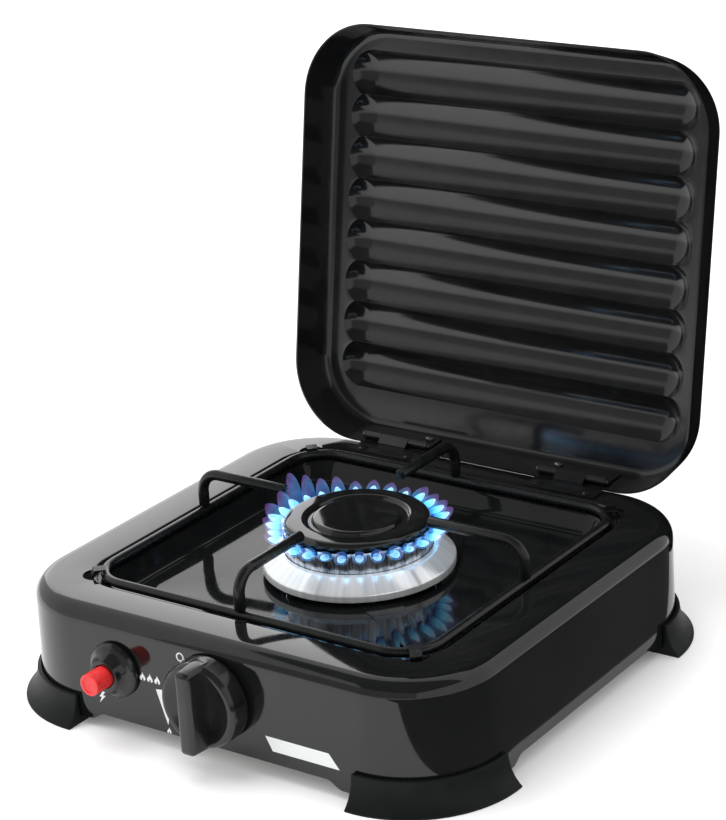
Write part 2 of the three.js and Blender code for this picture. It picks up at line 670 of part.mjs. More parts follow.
const capBottom = headTop + CLEARANCE;
const capEdge = CAP_TOP - 0.6;
add(
  "burner_cap",
  atBurner(turned([
    [0, headTop - PORT_HEIGHT],
    [HEAD_RADIUS - HEAD_WALL - 4, headTop - PORT_HEIGHT],
    [HEAD_RADIUS - HEAD_WALL - 4, capBottom],
    [CAP_RADIUS - 0.8, capBottom],
    [CAP_RADIUS, capBottom + 1],
    [CAP_RADIUS, capEdge - 1.2],
    [CAP_RADIUS - 1.4, capEdge],
    [GROOVE_OUTER, capEdge],
    [GROOVE_OUTER - 0.8, CAP_TOP - GROOVE_DEPTH],
    [GROOVE_INNER + 0.8, CAP_TOP - GROOVE_DEPTH],
    [GROOVE_INNER, CAP_TOP - 0.4],
    [GROOVE_INNER - 1, CAP_TOP],
    [0, CAP_TOP],
  ], 32)),
  ENAMEL,
);

const ringSheet = 1.2;
const flameRing = turned([
  [HEAD_RADIUS + CLEARANCE, RING_TOP],
  [RING_INNER, RING_TOP],
  [RING_OUTER, RING_EDGE],
  [RING_OUTER, RING_EDGE - RING_LIP],
  [RING_OUTER - ringSheet, RING_EDGE - RING_LIP],
  [RING_OUTER - ringSheet, RING_EDGE - 0.8],
  [RING_INNER - 0.6, RING_TOP - ringSheet],
  [HEAD_RADIUS + CLEARANCE, RING_TOP - ringSheet],
], 32);
const electrodeHole =
  rod(CERAMIC_RADIUS + CLEARANCE, electrodeAt(RING_EDGE - 6), electrodeAt(RING_TOP + 3), 16);
add("burner_ring", cut(atBurner(flameRing), electrodeHole), POLISHED);

const mixerEnd = OPENING_Y + mixerBoss - CLEARANCE;
const alongMixer = (outline, segments = 24) =>
  turnedForward(outline, segments).translate(KNOB_X, mixerEnd, CONTROL_HEIGHT);
add(
  "mixing_tube",
  alongMixer([
    [MIXER_RADIUS, 0],
    [MIXER_RADIUS, MIXER_LENGTH - 12],
    [MIXER_RADIUS + 2, MIXER_LENGTH],
    [MIXER_RADIUS + 2 - MIXER_WALL, MIXER_LENGTH],
    [MIXER_RADIUS - MIXER_WALL, MIXER_LENGTH - 12],
    [MIXER_RADIUS - MIXER_WALL, 0],
  ]),
  STEEL,
);

// ---------------------------------------------------------------- gas valve and knob

const panel = panelAt(CONTROL_HEIGHT);
const behindPanel = panel + SHEET + CLEARANCE;
const atControl = (x, y, geometry) => geometry.translate(x, y, CONTROL_HEIGHT);
const valveBack = behindPanel + VALVE_LENGTH;
const plugFront = panel + 2;
const plugBore = PLUG_RADIUS + CLEARANCE;
const noseOut = 3; // the nose's length outside the panel
const pipeTurn = vec(INLET_X, behindPanel + 18, CONTROL_HEIGHT);
const onKnobAxis = (y) => vec(KNOB_X, y, CONTROL_HEIGHT);
const portEnd = KNOB_X + VALVE_RADIUS + 6;
const plugEnd = plugFront + PLUG_LENGTH;
const valveBody = cut(
  join(
    rod(VALVE_RADIUS, onKnobAxis(valveBack), onKnobAxis(behindPanel), 24),
    rod(VALVE_NOSE, onKnobAxis(behindPanel + 1), onKnobAxis(panel - noseOut), 24),
    rod(PIPE_RADIUS + 2.2, onKnobAxis(pipeTurn.y), vec(portEnd, pipeTurn.y, CONTROL_HEIGHT), 16),
  ),
  rod(plugBore, onKnobAxis(panel - noseOut - 2), onKnobAxis(plugEnd + CLEARANCE), 20),
);
add("valve_body", valveBody, BRASS);
add(
  "valve_nut",
  atControl(KNOB_X, panel - CLEARANCE,
    nut(VALVE_NOSE + CLEARANCE, VALVE_NOSE + 3.4, 2.4).rotateX(Math.PI / 2)),
  STEEL,
);
const spindleBore = SPINDLE_RADIUS + CLEARANCE;
const boreDepth = PLUG_LENGTH - 3;
add(
  "tap_plug",
  atControl(KNOB_X, plugEnd, turnedForward([
    [0, 0], [PLUG_RADIUS, 0], [PLUG_RADIUS, PLUG_LENGTH], [spindleBore, PLUG_LENGTH],
    [spindleBore, PLUG_LENGTH - boreDepth], [0, PLUG_LENGTH - boreDepth]], 20)),
  BRASS,
);
const spindleBack = plugFront + boreDepth - KNOB_TRAVEL - 6; // room for the spring and the push
add(
  "knob_spindle",
  rod(SPINDLE_RADIUS, onKnobAxis(spindleBack), onKnobAxis(spindleBack - SPINDLE_LENGTH), 16),
  BRASS,
);

function coil(x, from, to, radius, wire, turns) {
  const rings = turns * 8;
  const path = new THREE.CatmullRomCurve3(
    Array.from({ length: rings + 1 }, (_, i) => {
      const angle = (i / 8) * 2 * Math.PI;
      const y = from + wire + ((to - from - 2 * wire) * i) / rings;
      return vec(x + radius * Math.cos(angle), y, CONTROL_HEIGHT + radius * Math.sin(angle));
    }),
  );
  return tube(path, wire, rings, 4);
}
const spindleSpringEnd = plugFront + boreDepth - KNOB_TRAVEL - CLEARANCE;
add("spindle_spring", coil(KNOB_X, spindleBack + CLEARANCE, spindleSpringEnd, 2.1, 0.4, 3), STEEL);

const jetStart = valveBack + CLEARANCE;
add(
  "gas_jet",
  atControl(KNOB_X, jetStart + JET_LENGTH, turnedForward([
    [0, 0], [1.2, 0], [2, 4], [JET_RADIUS, 5], [JET_RADIUS, 9],
    [JET_RADIUS + 1.4, 9], [JET_RADIUS + 1.4, JET_LENGTH], [0, JET_LENGTH]], 6)),
  BRASS,
);

const knobBack = panel - KNOB_TRAVEL - CLEARANCE;
const knobFront = knobBack - KNOB_BODY;
const knobOutline = [
  [KNOB_RADIUS - KNOB_WALL, 0],
  [KNOB_RADIUS, 0],
  [KNOB_RADIUS, 2],
  [KNOB_RADIUS - 0.5, KNOB_BODY - 2.5],
  [KNOB_RADIUS - 3, KNOB_BODY],
  [0, KNOB_BODY],
  [0, KNOB_BODY - KNOB_WALL],
  [KNOB_RADIUS - KNOB_WALL - 0.5, KNOB_BODY - KNOB_WALL],
];
const gripShape = new THREE.Shape();
const gripReach = KNOB_RADIUS - KNOB_GRIP_WIDTH / 2;
gripShape.absarc(0, gripReach, KNOB_GRIP_WIDTH / 2, 0, Math.PI);
gripShape.absarc(0, -gripReach, KNOB_GRIP_WIDTH / 2, Math.PI, 2 * Math.PI);
const GRIP_BEVEL = 1.2;
const grip = new THREE.ExtrudeGeometry(gripShape, {
  depth: KNOB_GRIP + KNOB_BODY - KNOB_WALL,
  bevelSize: GRIP_BEVEL,
  bevelOffset: -GRIP_BEVEL,
  bevelThickness: GRIP_BEVEL,
  bevelSegments: 2,
  curveSegments: 8,
}).rotateX(Math.PI / 2).translate(0, -KNOB_WALL - GRIP_BEVEL, 0);
const cylinder = (radius, from, to) =>
  turnedForward([[0, from], [radius, from], [radius, to], [0, to]], radius > 10 ? 40 : 16);
const hubStart = 3.2; // the hub stands back from the knob's open side, clear of the valve's nose
const socketDepth = knobBack - (spindleBack - SPINDLE_LENGTH) + CLEARANCE;
add(
  "knob",
  atControl(KNOB_X, knobBack, cut(
    join(
      turnedForward(knobOutline, 40),
      common(grip, cylinder(KNOB_RADIUS, 4, 40)),
      cylinder(SPINDLE_RADIUS + 3, hubStart, KNOB_BODY),
    ),
    cylinder(spindleBore, -2, socketDepth),
  )),
  GLOSS_PLASTIC,
);

// ---------------------------------------------------------------- piezo igniter

const piezoBack = behindPanel + PIEZO_LENGTH;
const buttonFront = panel - BUTTON_PROUD;
const buttonBore = BUTTON_RADIUS + CLEARANCE;
const buttonBack = panel + 6;
const buttonLength = buttonBack - buttonFront;
const springEnd = buttonBack + PIEZO_TRAVEL + 8;
const forward = (y) => piezoBack - y; // distance ahead of the igniter's back end
add(
  "piezo_body",
  atControl(PIEZO_X, piezoBack, turnedForward([
    [0, 0], [PIEZO_RADIUS - 2, 0], [PIEZO_RADIUS - 2, 8], [PIEZO_RADIUS, 8],
    [PIEZO_RADIUS, forward(panel) + 2], [buttonBore, forward(panel) + 2],
    [buttonBore, forward(springEnd)], [0, forward(springEnd)]], 24)),
  GLOSS_PLASTIC,
);
add(
  "piezo_nut",
  atControl(PIEZO_X, behindPanel + 3.4,
    nut(PIEZO_RADIUS + CLEARANCE, PIEZO_RADIUS + 4, 3.2).rotateX(Math.PI / 2)),
  STEEL,
);
add(
  "piezo_collar",
  atControl(PIEZO_X, panel - CLEARANCE, turnedForward([
    [PIEZO_RADIUS + CLEARANCE, 0], [COLLAR_RADIUS, 0], [COLLAR_RADIUS, 1.6], [COLLAR_RADIUS - 2.2, 3.6],
    [BUTTON_RADIUS + 2.6, COLLAR_DEPTH], [buttonBore, COLLAR_DEPTH], [buttonBore, 2.4],
    [PIEZO_RADIUS + CLEARANCE, 2.4]], 32)),
  GLOSS_PLASTIC,
);
add(
  "piezo_button",
  atControl(PIEZO_X, buttonBack, turnedForward([
    [0, 0], [BUTTON_RADIUS, 0], [BUTTON_RADIUS, buttonLength - 1],
    [BUTTON_RADIUS - 1, buttonLength], [0, buttonLength]], 24)),
  RED_PLASTIC,
);
// each return spring sits on the piece it pushes, with that piece's travel free behind it
const buttonSpringEnd = springEnd - PIEZO_TRAVEL - CLEARANCE;
add("piezo_spring", coil(PIEZO_X, buttonBack + CLEARANCE, buttonSpringEnd, 4, 0.5, 3), STEEL);

const ceramicBottom = FLOOR - 14;
const ceramicTop = headTop - 4;
add(
  "electrode_ceramic",
  cut(
    join(
      rod(CERAMIC_RADIUS, electrodeAt(ceramicBottom), electrodeAt(ceramicTop), 14),
      rod(CERAMIC_RADIUS + 1.4, electrodeAt(flangeTop - 3), electrodeAt(flangeTop), 14),
    ),
    rod(0.8 + CLEARANCE, electrodeAt(ceramicBottom - 1), electrodeAt(ceramicTop + 1), 10),
  ),
  CERAMIC,
);
const sparkTip = around(HEAD_RADIUS + 1.4, radians(ELECTRODE_ANGLE), headTop - 0.4);
add(
  "electrode_rod",
  tube(bentPath([electrodeAt(ceramicBottom - 3), electrodeAt(headTop - 1.6), sparkTip], 0.9), 0.8, 10, 8),
  STEEL,
);
const wirePath = new THREE.CatmullRomCurve3([
  electrodeAt(ceramicBottom - 3.6),
  electrodeAt(ceramicBottom - 8).add(vec(-1, -3, 0)),
  vec(-50, -30, ceramicBottom - 11),
  vec(PIEZO_X - 2, -58, CONTROL_HEIGHT - 6),
  vec(PIEZO_X, piezoBack + 8, CONTROL_HEIGHT),
  vec(PIEZO_X, piezoBack + CLEARANCE, CONTROL_HEIGHT),
]);
add("ignition_wire", tube(wirePath, WIRE_RADIUS, 18, 6), INSULATION);

// ---------------------------------------------------------------- gas inlet

const pipeStart = pipeTurn.clone().setX(portEnd + CLEARANCE);
const rearFace = -panelAt(INLET_HEIGHT) - SHEET;
const pipeEnd = atInlet(halfDepth + 2);
const pipePath = bentPath([pipeStart, pipeTurn, atInlet(pipeTurn.y + 40), pipeEnd], 9);
add("gas_pipe", tube(pipePath, PIPE_RADIUS, 22, 8), BRASS);
add(
  "inlet_nut",
  nut(PIPE_RADIUS + CLEARANCE, PIPE_RADIUS + 4.5, 4)
    .rotateX(Math.PI / 2).translate(INLET_X, rearFace - CLEARANCE, INLET_HEIGHT),
  BRASS,
);
const barbRoot = HOSE_TAIL_RADIUS - 0.7;
const barbs = [0.35, 0.6, 0.85].map((share) => share * HOSE_TAIL_LENGTH).flatMap((end) =>
  [[barbRoot, end - 2.4], [HOSE_TAIL_RADIUS, end - 2.2], [barbRoot, end]]);
add(
  "hose_tail",
  turned([
    [HOSE_BORE, -2], [PIPE_RADIUS + 4, -2], [PIPE_RADIUS + 4, 1.6], [barbRoot, 1.6],
    ...barbs, [HOSE_TAIL_RADIUS - 1, HOSE_TAIL_LENGTH], [HOSE_BORE, HOSE_TAIL_LENGTH]], 20)
    .rotateX(-Math.PI / 2).translate(INLET_X, pipeEnd.y + 2 + CLEARANCE, INLET_HEIGHT),
  BRASS,
);

// ---------------------------------------------------------------- lid

// The lid is drawn closed, about its hinge pin, and the group then swings it open.
const lid = new THREE.Group();
const pinHeight = TOP_HEIGHT + LID_GAP + PIN_ABOVE_RIM;
lid.position.set(0, PIN_Y, pinHeight);
lid.rotation.x = -radians(90 + LID_TILT);
stove.add(lid);
const addToLid = (name, geometry, material) => lid.add(mesh(name, geometry, material));

const rim = -PIN_ABOVE_RIM;
const lidMiddle = PIN_FROM_WALL - LID_LENGTH / 2;
function lidRings(inset) {
  const level = (shrink, height) => {
    const [x, y, corner] = [LID_WIDTH / 2, LID_LENGTH / 2, LID_CORNER].map((v) => v - inset - shrink);
    return ring(x, y, corner, rim + height, lidMiddle);
  };
  const floor = LID_DEPTH + LID_SHEET - inset;
  const fillet = LID_FILLET + LID_SHEET - inset;
  const lean = (height) => (LID_DRAFT * height) / LID_DEPTH;
  const rings = [level(0, 0), level(lean(floor - fillet), floor - fillet)];
  for (const angle of [30, 60, 90].map(radians))
    rings.push(level(lean(floor) + fillet * (1 - Math.cos(angle)), floor - fillet * (1 - Math.sin(angle))));
  return rings;
}

const RIB_STEPS = 5; // facets across a rib

// One rib: a shallow round-ended trough, its section an arc that spans the pitch.
const ribRadius = (depth) => (RIB_PITCH ** 2 / 4 + depth ** 2) / (2 * depth);
function ribBlank(growth) {
  const depth = RIB_DEPTH - RIB_CREST;
  const radius = ribRadius(depth) + growth;
  const base = -(ribRadius(depth) - RIB_DEPTH);
  const half = RIB_PITCH / 2 + (growth ? LID_SHEET : 0.01);
  const start = Math.asin(Math.min(half / radius, 1));
  const outline = new THREE.Shape();
  outline.moveTo(-half, -1.5);
  for (let step = 0; step <= RIB_STEPS; step++) {
    const angle = -start + (2 * start * step) / RIB_STEPS;
    outline.lineTo(radius * Math.sin(angle), base + radius * Math.cos(angle));
  }
  outline.lineTo(half, -1.5);
  return new THREE.ExtrudeGeometry(outline, { depth: RIB_LENGTH + 2 * growth, bevelEnabled: false })
    .applyMatrix4(new THREE.Matrix4().makeBasis(vec(0, 1, 0), vec(0, 0, 1), vec(1, 0, 0)))
    .translate(-RIB_LENGTH / 2 - growth, 0, 0);
}
function ribPlan(growth) {
  // The plan of a rib: its ends are arcs that bulge.
  const half = RIB_PITCH / 2 + (growth ? LID_SHEET : 0.01);
  const reach = RIB_LENGTH / 2 + growth;
  const radius = (half ** 2 + RIB_BULGE ** 2) / (2 * RIB_BULGE);
  const plan = new THREE.Shape();
  const sweep = Math.asin(half / radius);
  plan.absarc(reach - radius, 0, radius, -sweep, sweep);
  plan.absarc(-reach + radius, 0, radius, Math.PI - sweep, Math.PI + sweep);
  return new THREE.ExtrudeGeometry(plan, { depth: 20, bevelEnabled: false, curveSegments: 3 })
    .translate(0, 0, -5);
}
const ribYs = Array.from({ length: RIB_COUNT }, (_, i) => PIN_FROM_WALL - RIB_FIRST - i * RIB_PITCH);
const ribs = (growth) => {
  const one = common(ribBlank(growth), ribPlan(growth));
  return join(...ribYs.map((y) => one.clone().translate(0, y, rim + LID_DEPTH)));
};
const lidRivets = [-1, 1].flatMap((side) =>
  [0.3, 0.75].map((share) => ({ side, x: side * (HINGE_X - RIVET_SPREAD), share })));
const wallSlope = LID_DRAFT / LID_DEPTH;
const lidSkin = loft(lidRings(0));
const lidHollow = loft([
  ...lidRings(LID_SHEET).map((points, i) => (i === 0 ? points.map((p) => p.clone().setZ(rim - 1)) : points)),
]);
const leafAt = (share) => PIN_FROM_WALL - LID_SHEET - wallSlope * (leafHeight(share) - rim);
function leafHeight(share) {
  return rim + 3 + share * HINGE_LEAF;
}
const lidRivet = (x, share, from, to, radius) => {
  const at = (out) => vec(x, leafAt(share) + out, leafHeight(share));
  return rod(radius, at(from), at(to), 8);
};
addToLid(
  "lid_shell",
  cut(
    join(lidSkin, ribs(LID_SHEET)),
    lidHollow,
    ribs(0),
    ...lidRivets.map(({ x, share }) => lidRivet(x, share, -4, 5, RIVET_RADIUS + CLEARANCE)),
  ),
  ENAMEL,
);

// ---------------------------------------------------------------- hinges

const rivetHead = () =>
  turned([[0, 0], [RIVET_HEAD, 0], [RIVET_HEAD * 0.75, 0.9], [0, 1.3]], 8);
const eyeOuter = PIN_RADIUS + CLEARANCE + HINGE_SHEET;
const eyeMiddle = eyeOuter - HINGE_SHEET / 2;
// The leaf's middle line: its straight part, then round the pin; angles are in the YZ plane.
const eyePoints = (from, to, steps = 9) =>
  Array.from({ length: steps + 1 }, (_, i) => {
    const angle = radians(from + ((to - from) * i) / steps);
    return new THREE.Vector2(eyeMiddle * Math.cos(angle), eyeMiddle * Math.sin(angle));
  });
[-1, 1].forEach((side) => {
  const name = side < 0 ? "left" : "right";
  const x = side * HINGE_X;
  // the body's leaf lies on the top plate, rises ahead of the lid's rim and rolls over the pin
  const leafZ = TOP_HEIGHT + CLEARANCE + HINGE_SHEET / 2 - pinHeight;
  const leafFront = OPENING_Y + OPENING_DEPTH / 2 + 1.4 - PIN_Y;
  const riseY = -eyeMiddle - 3.6;
  const at2 = (y, z) => new THREE.Vector2(y, z);
  const plate = strip([at2(leafFront, leafZ), at2(riseY, leafZ), at2(riseY + 0.2, leafZ + 1.6)],
    HINGE_SHEET, HINGE_WIDTH, x);
  const eye = strip([at2(riseY, leafZ), at2(riseY + 0.3, leafZ + 2.4), ...eyePoints(140, -110, 7)],
    HINGE_SHEET, HINGE_MIDDLE, x);
  const rivetHole = (end) => {
    const at = (z) => vec(x + end * RIVET_SPREAD, rivetY - PIN_Y, z);
    return rod(RIVET_RADIUS + CLEARANCE, at(leafZ - 3), at(leafZ + 3), 8);
  };
  const fixed = cut(join(plate, eye), rivetHole(-1), rivetHole(1)).translate(0, PIN_Y, pinHeight);
  add(`hinge_leaf_body_${name}`, fixed, ENAMEL);
  [-1, 1].forEach((end, i) => {
    const at = (z) => vec(x + end * RIVET_SPREAD, rivetY, TOP_HEIGHT + z);
    const top = CLEARANCE + HINGE_SHEET + CLEARANCE;
    const rivet = join(
      rod(RIVET_RADIUS, at(-SHEET - 1.2), at(top + 0.2), 8),
      rivetHead().translate(...at(top).toArray()),
    );
    add(`body_rivet_${name}_${i + 1}`, rivet, ENAMEL);
  });
  const pinEnd = (end) => vec(x + end * (HINGE_WIDTH / 2 + 1), PIN_Y, pinHeight);
  add(`hinge_pin_${name}`, rod(PIN_RADIUS, pinEnd(-1), pinEnd(1), 12), STEEL);

  // the lid's leaf lies on the inside of its rear wall; its two eyes stand either side
  const eyeWidth = (HINGE_WIDTH - HINGE_MIDDLE) / 2 - CLEARANCE;
  const wallAt = (height) => leafAt(0) - CLEARANCE - HINGE_SHEET / 2 - wallSlope * (height - leafHeight(0));
  const ownRivets = lidRivets.filter((r) => r.side === side);
  const onWall = (z) => new THREE.Vector2(wallAt(z), z);
  const leaf = strip([onWall(2.4), onWall(rim + 3 + HINGE_LEAF)], HINGE_SHEET, HINGE_WIDTH, x);
  const roll = (end) =>
    strip([...eyePoints(-190, 40, 7), onWall(3.4)],
      HINGE_SHEET, eyeWidth, x + end * (HINGE_MIDDLE / 2 + CLEARANCE + eyeWidth / 2));
  const moving = cut(
    join(leaf, roll(-1), roll(1)),
    ...ownRivets.map((r) => lidRivet(r.x, r.share, -5, 3, RIVET_RADIUS + CLEARANCE)),
  );
  addToLid(`hinge_leaf_lid_${name}`, moving, ENAMEL);
  ownRivets.forEach((r, i) => {
    const inner = -CLEARANCE - HINGE_SHEET - CLEARANCE;
    const at = (out) => vec(r.x, leafAt(r.share) + out, leafHeight(r.share));
    const rivet = join(
      lidRivet(r.x, r.share, inner - 0.3, LID_SHEET + 1.2, RIVET_RADIUS),
      rivetHead().rotateX(Math.PI / 2).translate(...at(inner - 0.3).toArray()),
    );
    addToLid(`lid_rivet_${name}_${i + 1}`, rivet, STEEL);
  });
});

// ---------------------------------------------------------------- origin at the middle of the base

stove.updateMatrixWorld(true);
const box = new THREE.Box3().setFromObject(stove, true);
stove.position.sub(box.getCenter(vec(0, 0, 0)).setZ(box.min.z));

export default stove;
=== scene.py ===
"""A one-burner camping stove with its lid open and the burner lit."""

import math

import bmesh
import bpy
from mathutils import Matrix, Vector


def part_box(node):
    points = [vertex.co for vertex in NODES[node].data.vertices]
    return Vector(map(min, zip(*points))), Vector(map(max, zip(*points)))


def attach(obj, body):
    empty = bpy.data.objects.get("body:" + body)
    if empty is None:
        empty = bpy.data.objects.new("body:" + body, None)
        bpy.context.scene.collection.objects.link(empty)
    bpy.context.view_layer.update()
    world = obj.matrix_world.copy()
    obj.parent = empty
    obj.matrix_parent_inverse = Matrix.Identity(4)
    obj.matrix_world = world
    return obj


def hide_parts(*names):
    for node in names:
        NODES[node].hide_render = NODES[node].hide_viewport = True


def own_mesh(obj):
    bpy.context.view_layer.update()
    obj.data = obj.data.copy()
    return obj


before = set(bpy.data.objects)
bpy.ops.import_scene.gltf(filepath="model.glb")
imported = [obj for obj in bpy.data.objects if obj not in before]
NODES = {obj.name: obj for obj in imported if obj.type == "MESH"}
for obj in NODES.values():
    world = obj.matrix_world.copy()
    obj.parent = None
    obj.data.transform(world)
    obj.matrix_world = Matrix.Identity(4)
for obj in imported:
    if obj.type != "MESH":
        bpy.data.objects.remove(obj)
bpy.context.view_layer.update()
MM = 0.001

# ---------------------------------------------------------------- where the frame's pieces are

body_low, body_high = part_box("body_shell")
BODY_Y = (body_low.y + body_high.y) / 2
BODY_TOP = body_high.z
BODY_HALF_X = body_high.x
BODY_HALF_Y = (body_high.y - body_low.y) / 2
PANEL_Y = body_low.y
cap_low, cap_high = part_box("burner_cap")
BURNER = Vector((0, (cap_low.y + cap_high.y) / 2, 0))
CAP_TOP = cap_high.z
ring_low, ring_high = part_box("burner_ring")
head_low, head_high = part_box("burner_head")
knob_low, knob_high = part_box("knob")
KNOB = Vector(((knob_low.x + knob_high.x) / 2, knob_high.y, (knob_low.z + knob_high.z) / 2))
collar_low, collar_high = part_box("piezo_collar")
IGNITER = Vector(
    ((collar_low.x + collar_high.x) / 2, collar_high.y, (collar_low.z + collar_high.z) / 2)
)
button_low, button_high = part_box("piezo_button")
pin_low, pin_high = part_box("hinge_pin_left")
PIN = Vector((0, (pin_low.y + pin_high.y) / 2, (pin_low.z + pin_high.z) / 2))
LID_TILT = math.radians(9.26)
RECESS_DEPTH = 13.2
FLOOR_Z = BODY_TOP - RECESS_DEPTH * MM
BODY_CORNER = 49 * MM
EDGE_Z = 8.5
EDGE_DROP = 4
TOP_FILLET = 8.8
RAMP = 9 * MM
RAMP_END = BODY_CORNER + 2 * RAMP
SHEET = 1.2 * MM
RECESS_MIDDLE = Vector((0, BURNER.y, BODY_TOP))

# ---------------------------------------------------------------- bench work


def put_down():
    """Leaves edit mode with nothing selected."""
    if bpy.context.object and bpy.context.object.mode != "OBJECT":
        bpy.ops.object.mode_set(mode="OBJECT")
    bpy.ops.object.select_all(action="DESELECT")


def pick_up(piece):
    put_down()
    piece.select_set(True)
    bpy.context.view_layer.objects.active = piece


def open_mesh(piece, kind="FACE"):
    pick_up(piece)
    bpy.ops.object.mode_set(mode="EDIT")
    bpy.ops.mesh.select_mode(type=kind)
    bpy.ops.mesh.select_all(action="DESELECT")


def close_mesh():
    bpy.ops.object.mode_set(mode="OBJECT")


def choose(piece, test, kind="FACE"):
    """Selects the faces, edges or vertices whose middle passes the test."""
    bpy.ops.mesh.select_mode(type=kind)
    bpy.ops.mesh.select_all(action="DESELECT")
    cage = bmesh.from_edit_mesh(piece.data)
    if kind == "FACE":
        for face in cage.faces:
            face.select_set(bool(test(face.calc_center_median(), face.normal)))
    elif kind == "EDGE":
        for edge in cage.edges:
            edge.select_set(bool(test(*[v.co for v in edge.verts])))
    else:
        for vert in cage.verts:
            vert.select_set(bool(test(vert.co)))
    cage.select_flush_mode()
    bmesh.update_edit_mesh(piece.data)


def settle(piece):
    """Puts a piece's place into its mesh."""
    pick_up(piece)
    bpy.ops.object.transform_apply(location=True, rotation=True, scale=True)
    return piece


def fix(piece, kind, **settings):
    """Adds one modifier and applies it."""
    pick_up(piece)
    modifier = piece.modifiers.new(kind.title(), kind)
    for key, value in settings.items():
        setattr(modifier, key, value)
    bpy.ops.object.modifier_apply(modifier=modifier.name)


def clean(piece):
    """Merges doubled vertices and turns every face outwards."""
    open_mesh(piece, "VERT")
    bpy.ops.mesh.select_all(action="SELECT")
    bpy.ops.mesh.remove_doubles(threshold=1e-6)
    bpy.ops.mesh.normals_make_consistent(inside=False)
    close_mesh()


def smooth(piece, angle=32):
    pick_up(piece)
    bpy.ops.object.shade_smooth_by_angle(angle=math.radians(angle))
    return piece


def rounded_plate(name, width, depth, corner, place, steps):
    """A flat plate with round corners, facing up."""
    put_down()
    bpy.ops.mesh.primitive_plane_add(size=1, location=place)
    plate = bpy.context.object
    plate.name = name
    plate.scale = (width, depth, 1)
    settle(plate)
    open_mesh(plate, "VERT")
    bpy.ops.mesh.select_all(action="SELECT")
    bpy.ops.mesh.bevel(
        offset=corner, offset_type="OFFSET", affect="VERTICES", segments=steps, profile=0.5
    )
    bpy.ops.mesh.select_mode(type="FACE")
    bpy.ops.mesh.select_all(action="SELECT")
    close_mesh()
    return plate


def draw_in(piece, steps):
    """Takes the selected face inwards and up, step by step: each step is (in, up) in mm."""
    pick_up(piece)
    bpy.ops.object.mode_set(mode="EDIT")
    bpy.ops.mesh.select_mode(type="FACE")
    for inward, up in steps:
        bpy.ops.mesh.inset(thickness=inward * MM, depth=up * MM, use_even_offset=True)
    close_mesh()


def steps_between(points):
    """The steps that lead through a list of (in, up) points."""
    return [(b[0] - a[0], b[1] - a[1]) for a, b in zip(points, points[1:])]


def quarter(start, radius, count):
    """Points of a quarter round that leaves start upwards and ends up going inwards."""
    points = []
    for i in range(1, count + 1):
        angle = math.pi / 2 * i / count
        rise, reach = math.sin(angle), 1 - math.cos(angle)
        points.append((start[0] + radius * reach, start[1] + radius * rise))
    return points


def outline(name, points):
    """A chain of vertices through the points."""
    put_down()
    bpy.ops.mesh.primitive_plane_add(size=1)
    chain = bpy.context.object
    chain.name = name
    open_mesh(chain, "VERT")
    bpy.ops.mesh.select_all(action="SELECT")
    bpy.ops.mesh.merge(type="CENTER")
    bpy.ops.transform.translate(value=Vector(points[0]))
    for a, b in zip(points, points[1:]):
        bpy.ops.mesh.extrude_region_move(
            TRANSFORM_OT_translate={"value": Vector(b) - Vector(a)}
        )
    close_mesh()
    return chain


def round_off(points, radii, count=5):
    """Rounds the inner corners of an outline of (r, z) points, each by its own radius."""
    out = [points[0]]
    for i in range(1, len(points) - 1):
        a, b, c = Vector(points[i - 1]), Vector(points[i]), Vector(points[i + 1])
        reach = min(radii[i - 1], (a - b).length * 0.49, (c - b).length * 0.49)
        if reach <= 0:
            out.append(tuple(b))
            continue
        start, end = b + (a - b).normalized() * reach, b + (c - b).normalized() * reach
        for k in range(count + 1):
            t = k / count
            out.append(tuple(start * (1 - t) ** 2 + b * 2 * t * (1 - t) + end * t * t))
    out.append(points[-1])
    return out


def lathe(name, points, middle, axis="up", steps=96):
    """Spins an outline of (radius, height) in mm about an upright or a forward axis."""
    if axis == "up":
        line = [(r * MM + middle.x, middle.y, z * MM + middle.z) for r, z in points]
        turn = (0, 0, 1)
    else:
        line = [(r * MM + middle.x, middle.y - z * MM, middle.z) for r, z in points]
        turn = (0, 1, 0)
    piece = outline(name, line)
    open_mesh(piece, "VERT")
    bpy.ops.mesh.select_all(action="SELECT")
    bpy.ops.mesh.spin(steps=steps, angle=2 * math.pi, center=middle, axis=turn)
    close_mesh()
    clean(piece)
    return piece


def fill_and_draw(piece, move):
    """Fills a closed outline and draws the face out by a move."""
    open_mesh(piece, "EDGE")
    bpy.ops.mesh.select_all(action="SELECT")
    bpy.ops.mesh.edge_face_add()
    bpy.ops.mesh.select_mode(type="FACE")
    bpy.ops.mesh.select_all(action="SELECT")
    bpy.ops.mesh.extrude_region_move(TRANSFORM_OT_translate={"value": move})


def soften(piece, width, segments, angle):
    """Rounds, by width mm, every edge that turns by more than angle degrees."""
    fix(
        piece, "BEVEL", width=width * MM, segments=segments, limit_method="ANGLE",
        angle_limit=math.radians(angle),
    )  # fmt: skip


def bent_rod(name, points, radius, closed=False):
    """A round rod along the points."""
    piece = outline(name, points)
    if closed:
        open_mesh(piece, "VERT")
        first, last = Vector(points[0]), Vector(points[-1])
        choose(piece, lambda p: min((p - first).length, (p - last).length) < 1e-6, "VERT")
        bpy.ops.mesh.edge_face_add()
        close_mesh()
    pick_up(piece)
    bpy.ops.object.convert(target="CURVE")
    piece = bpy.context.object
    piece.data.bevel_depth = radius
    piece.data.bevel_resolution = 7
    piece.data.use_fill_caps = not closed
    bpy.ops.object.convert(target="MESH")
    piece = bpy.context.object
    clean(piece)
    return piece


